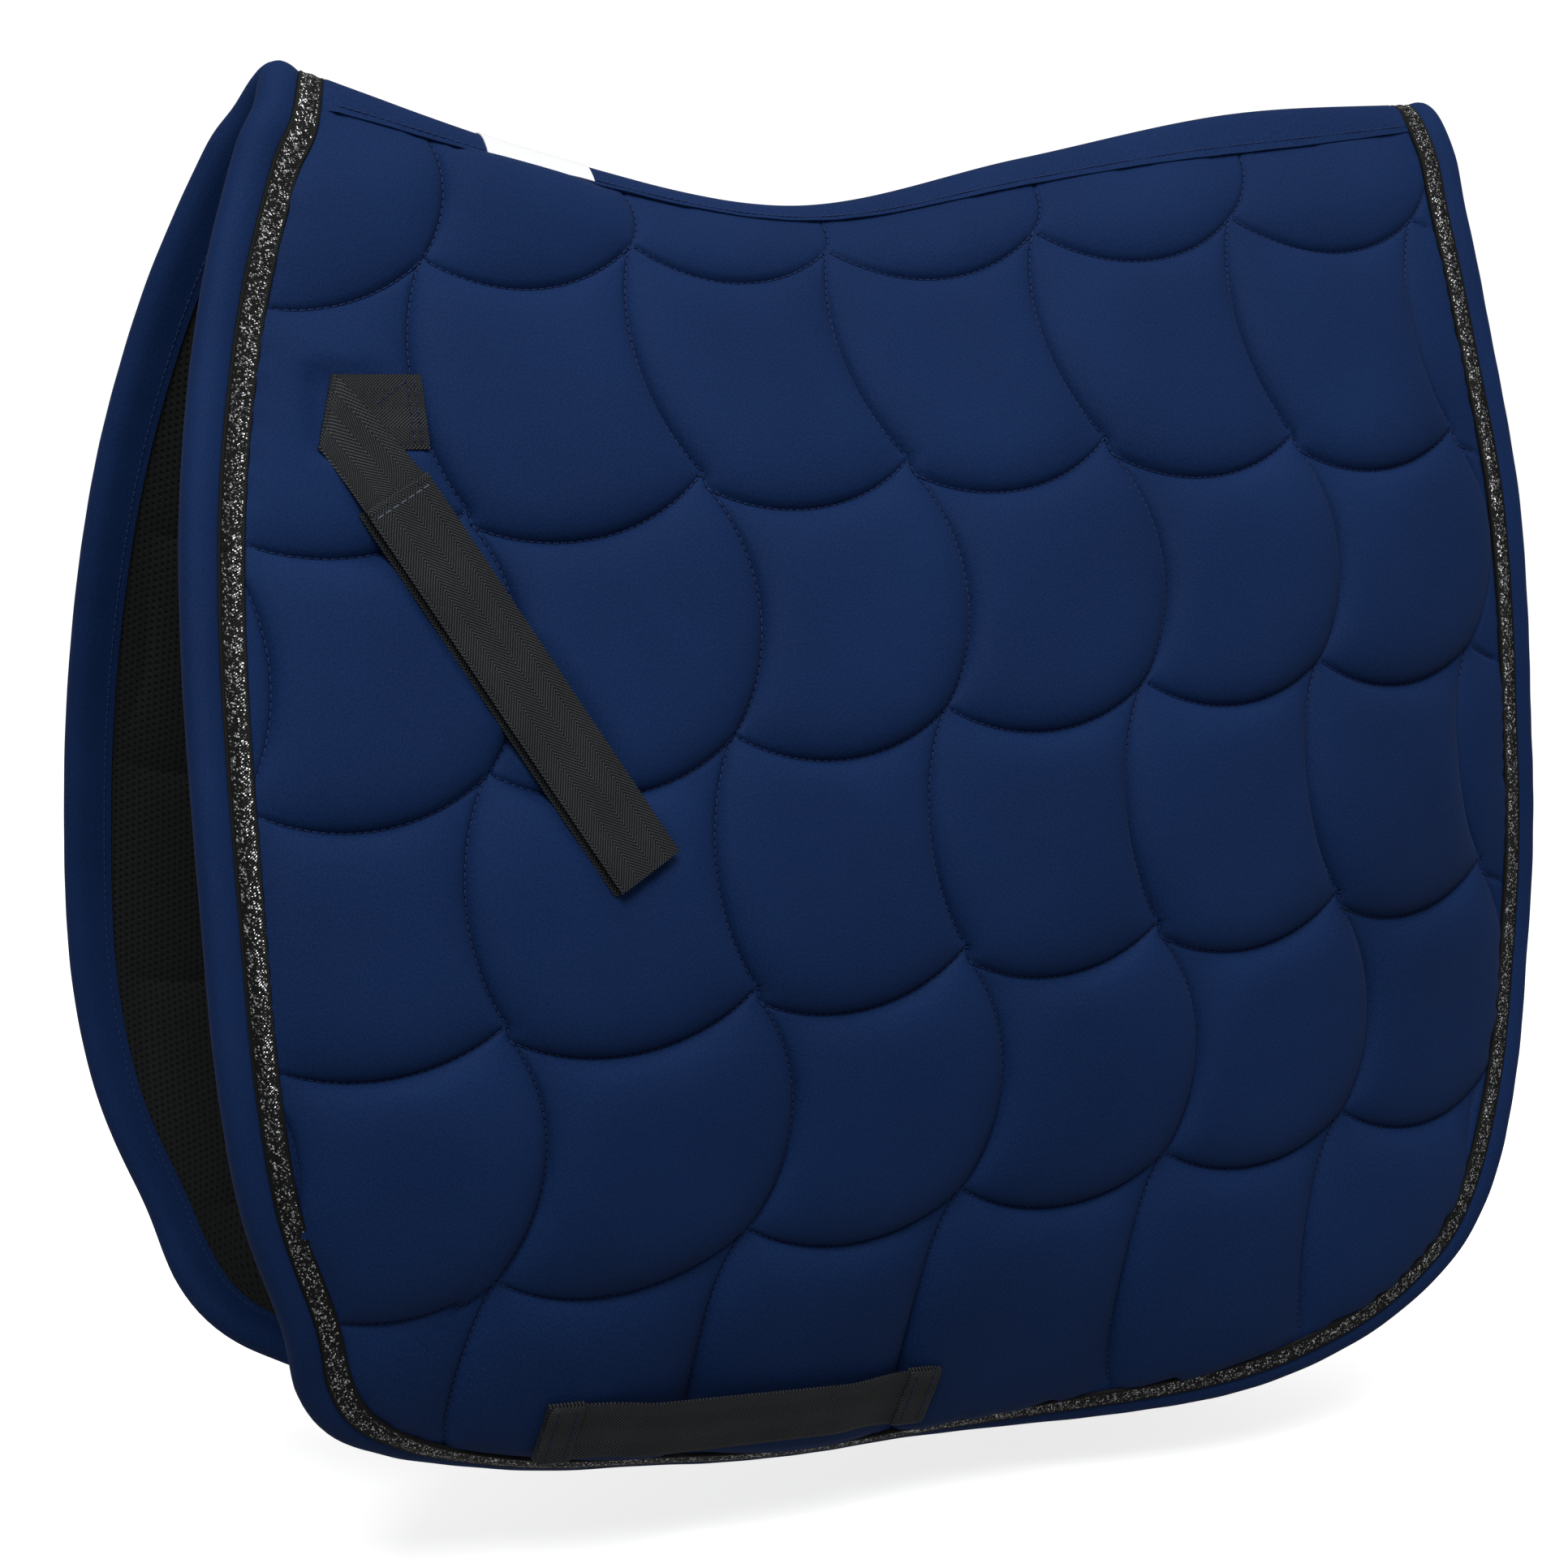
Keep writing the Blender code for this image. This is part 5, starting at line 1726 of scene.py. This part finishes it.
# ---- Studio ----
@dataclass(frozen=True)
class Studio:
    """Pale floor, soft lights and the camera."""

    floor_height: float = -0.560
    azimuth: float = math.radians(-28.12)
    elevation: float = math.radians(8.018)
    roll: float = math.radians(0.347)
    distance: float = 1.30642
    lens: float = 68.11
    aim: tuple = (0.0, 0.0, -0.238)
    lights: tuple = (("key_softbox", (-1.4, -2.6, 2.9), (1.9, 1.9), 143.0),
                     ("top_softbox", (0.3, -0.7, 2.9), (1.8, 1.2), 32.0))
    light_aim: tuple = (0.03, 0.0, -0.22)
    air_light: float = 0.30        # the air's strength on the pad, and as the camera sees it
    air_seen: float = 1.05

    def floor(self) -> None:
        """A large pale sheet of paper."""
        deselect()
        bpy.ops.mesh.primitive_grid_add(x_subdivisions=12, y_subdivisions=12, size=60.0,
                                        location=(0, 0, self.floor_height))
        paper = bpy.context.object
        paper.name = paper.data.name = "studio_floor"
        bpy.ops.object.transform_apply(location=True, rotation=True, scale=True)
        dress(paper, StudioPaper().material())
        paper.visible_diffuse = paper.visible_glossy = False

    def light(self, name: str, place: tuple, size: tuple, power: float) -> None:
        """A soft rectangular light that looks at the pad."""
        data = bpy.data.lights.new(name, "AREA")
        data.shape = "RECTANGLE"
        data.size, data.size_y = size
        data.energy = power
        obj = bpy.data.objects.new(name, data)
        obj.location = place
        obj.rotation_euler = (Vector(self.light_aim) - Vector(place)).to_track_quat("-Z", "Y").to_euler()
        bpy.context.scene.collection.objects.link(obj)

    def camera(self) -> None:
        """The camera, at the height and turn the pad is looked at from."""
        ce, se = math.cos(self.elevation), math.sin(self.elevation)
        back = Vector((math.sin(self.azimuth) * ce, -math.cos(self.azimuth) * ce, se))
        right = Vector((0, 0, 1)).cross(back).normalized()
        up = back.cross(right)
        level = right * math.cos(self.roll) + up * math.sin(self.roll)
        upright = up * math.cos(self.roll) - right * math.sin(self.roll)
        data = bpy.data.cameras.new("studio_camera")
        data.lens = self.lens
        data.sensor_width = 36.0
        data.dof.use_dof = False
        obj = bpy.data.objects.new("studio_camera", data)
        matrix = Matrix((level, upright, back)).transposed().to_4x4()
        matrix.translation = Vector(self.aim) + back * self.distance
        obj.matrix_world = matrix
        bpy.context.scene.collection.objects.link(obj)
        bpy.context.scene.camera = obj

    def build(self) -> None:
        """Set up the studio."""
        world = bpy.data.worlds.new("studio_air")
        world.use_nodes = True
        tree = world.node_tree
        tree.nodes["Background"].inputs["Color"].default_value = (1.0, 1.0, 1.0, 1.0)
        rays = tree.nodes.new("ShaderNodeLightPath")
        power = tree.nodes.new("ShaderNodeMapRange")
        power.inputs["To Min"].default_value = self.air_light
        power.inputs["To Max"].default_value = self.air_seen
        tree.links.new(rays.outputs["Is Camera Ray"], power.inputs["Value"])
        tree.links.new(power.outputs["Result"], tree.nodes["Background"].inputs["Strength"])
        bpy.context.scene.world = world
        bpy.context.scene.view_settings.view_transform = "Standard"
        self.floor()
        for light in self.lights:
            self.light(*light)
        self.camera()


def main() -> None:
    """Build the studio and the pad."""
    logging.basicConfig(level=logging.INFO, format="%(name)s: %(message)s")
    Studio().build()
    pad = SaddlePad(Wardrobe.filled(), QuiltedSheets(QuiltPattern()), EdgeTrim(), BilletStrap(), GirthKeeper(),
                    Stitcher())
    pad.build_sheets()
    pad.build_trim()
    pad.build_strap()
    pad.build_keeper()
    pad.build_spine()


if __name__ == "__main__":
    main()
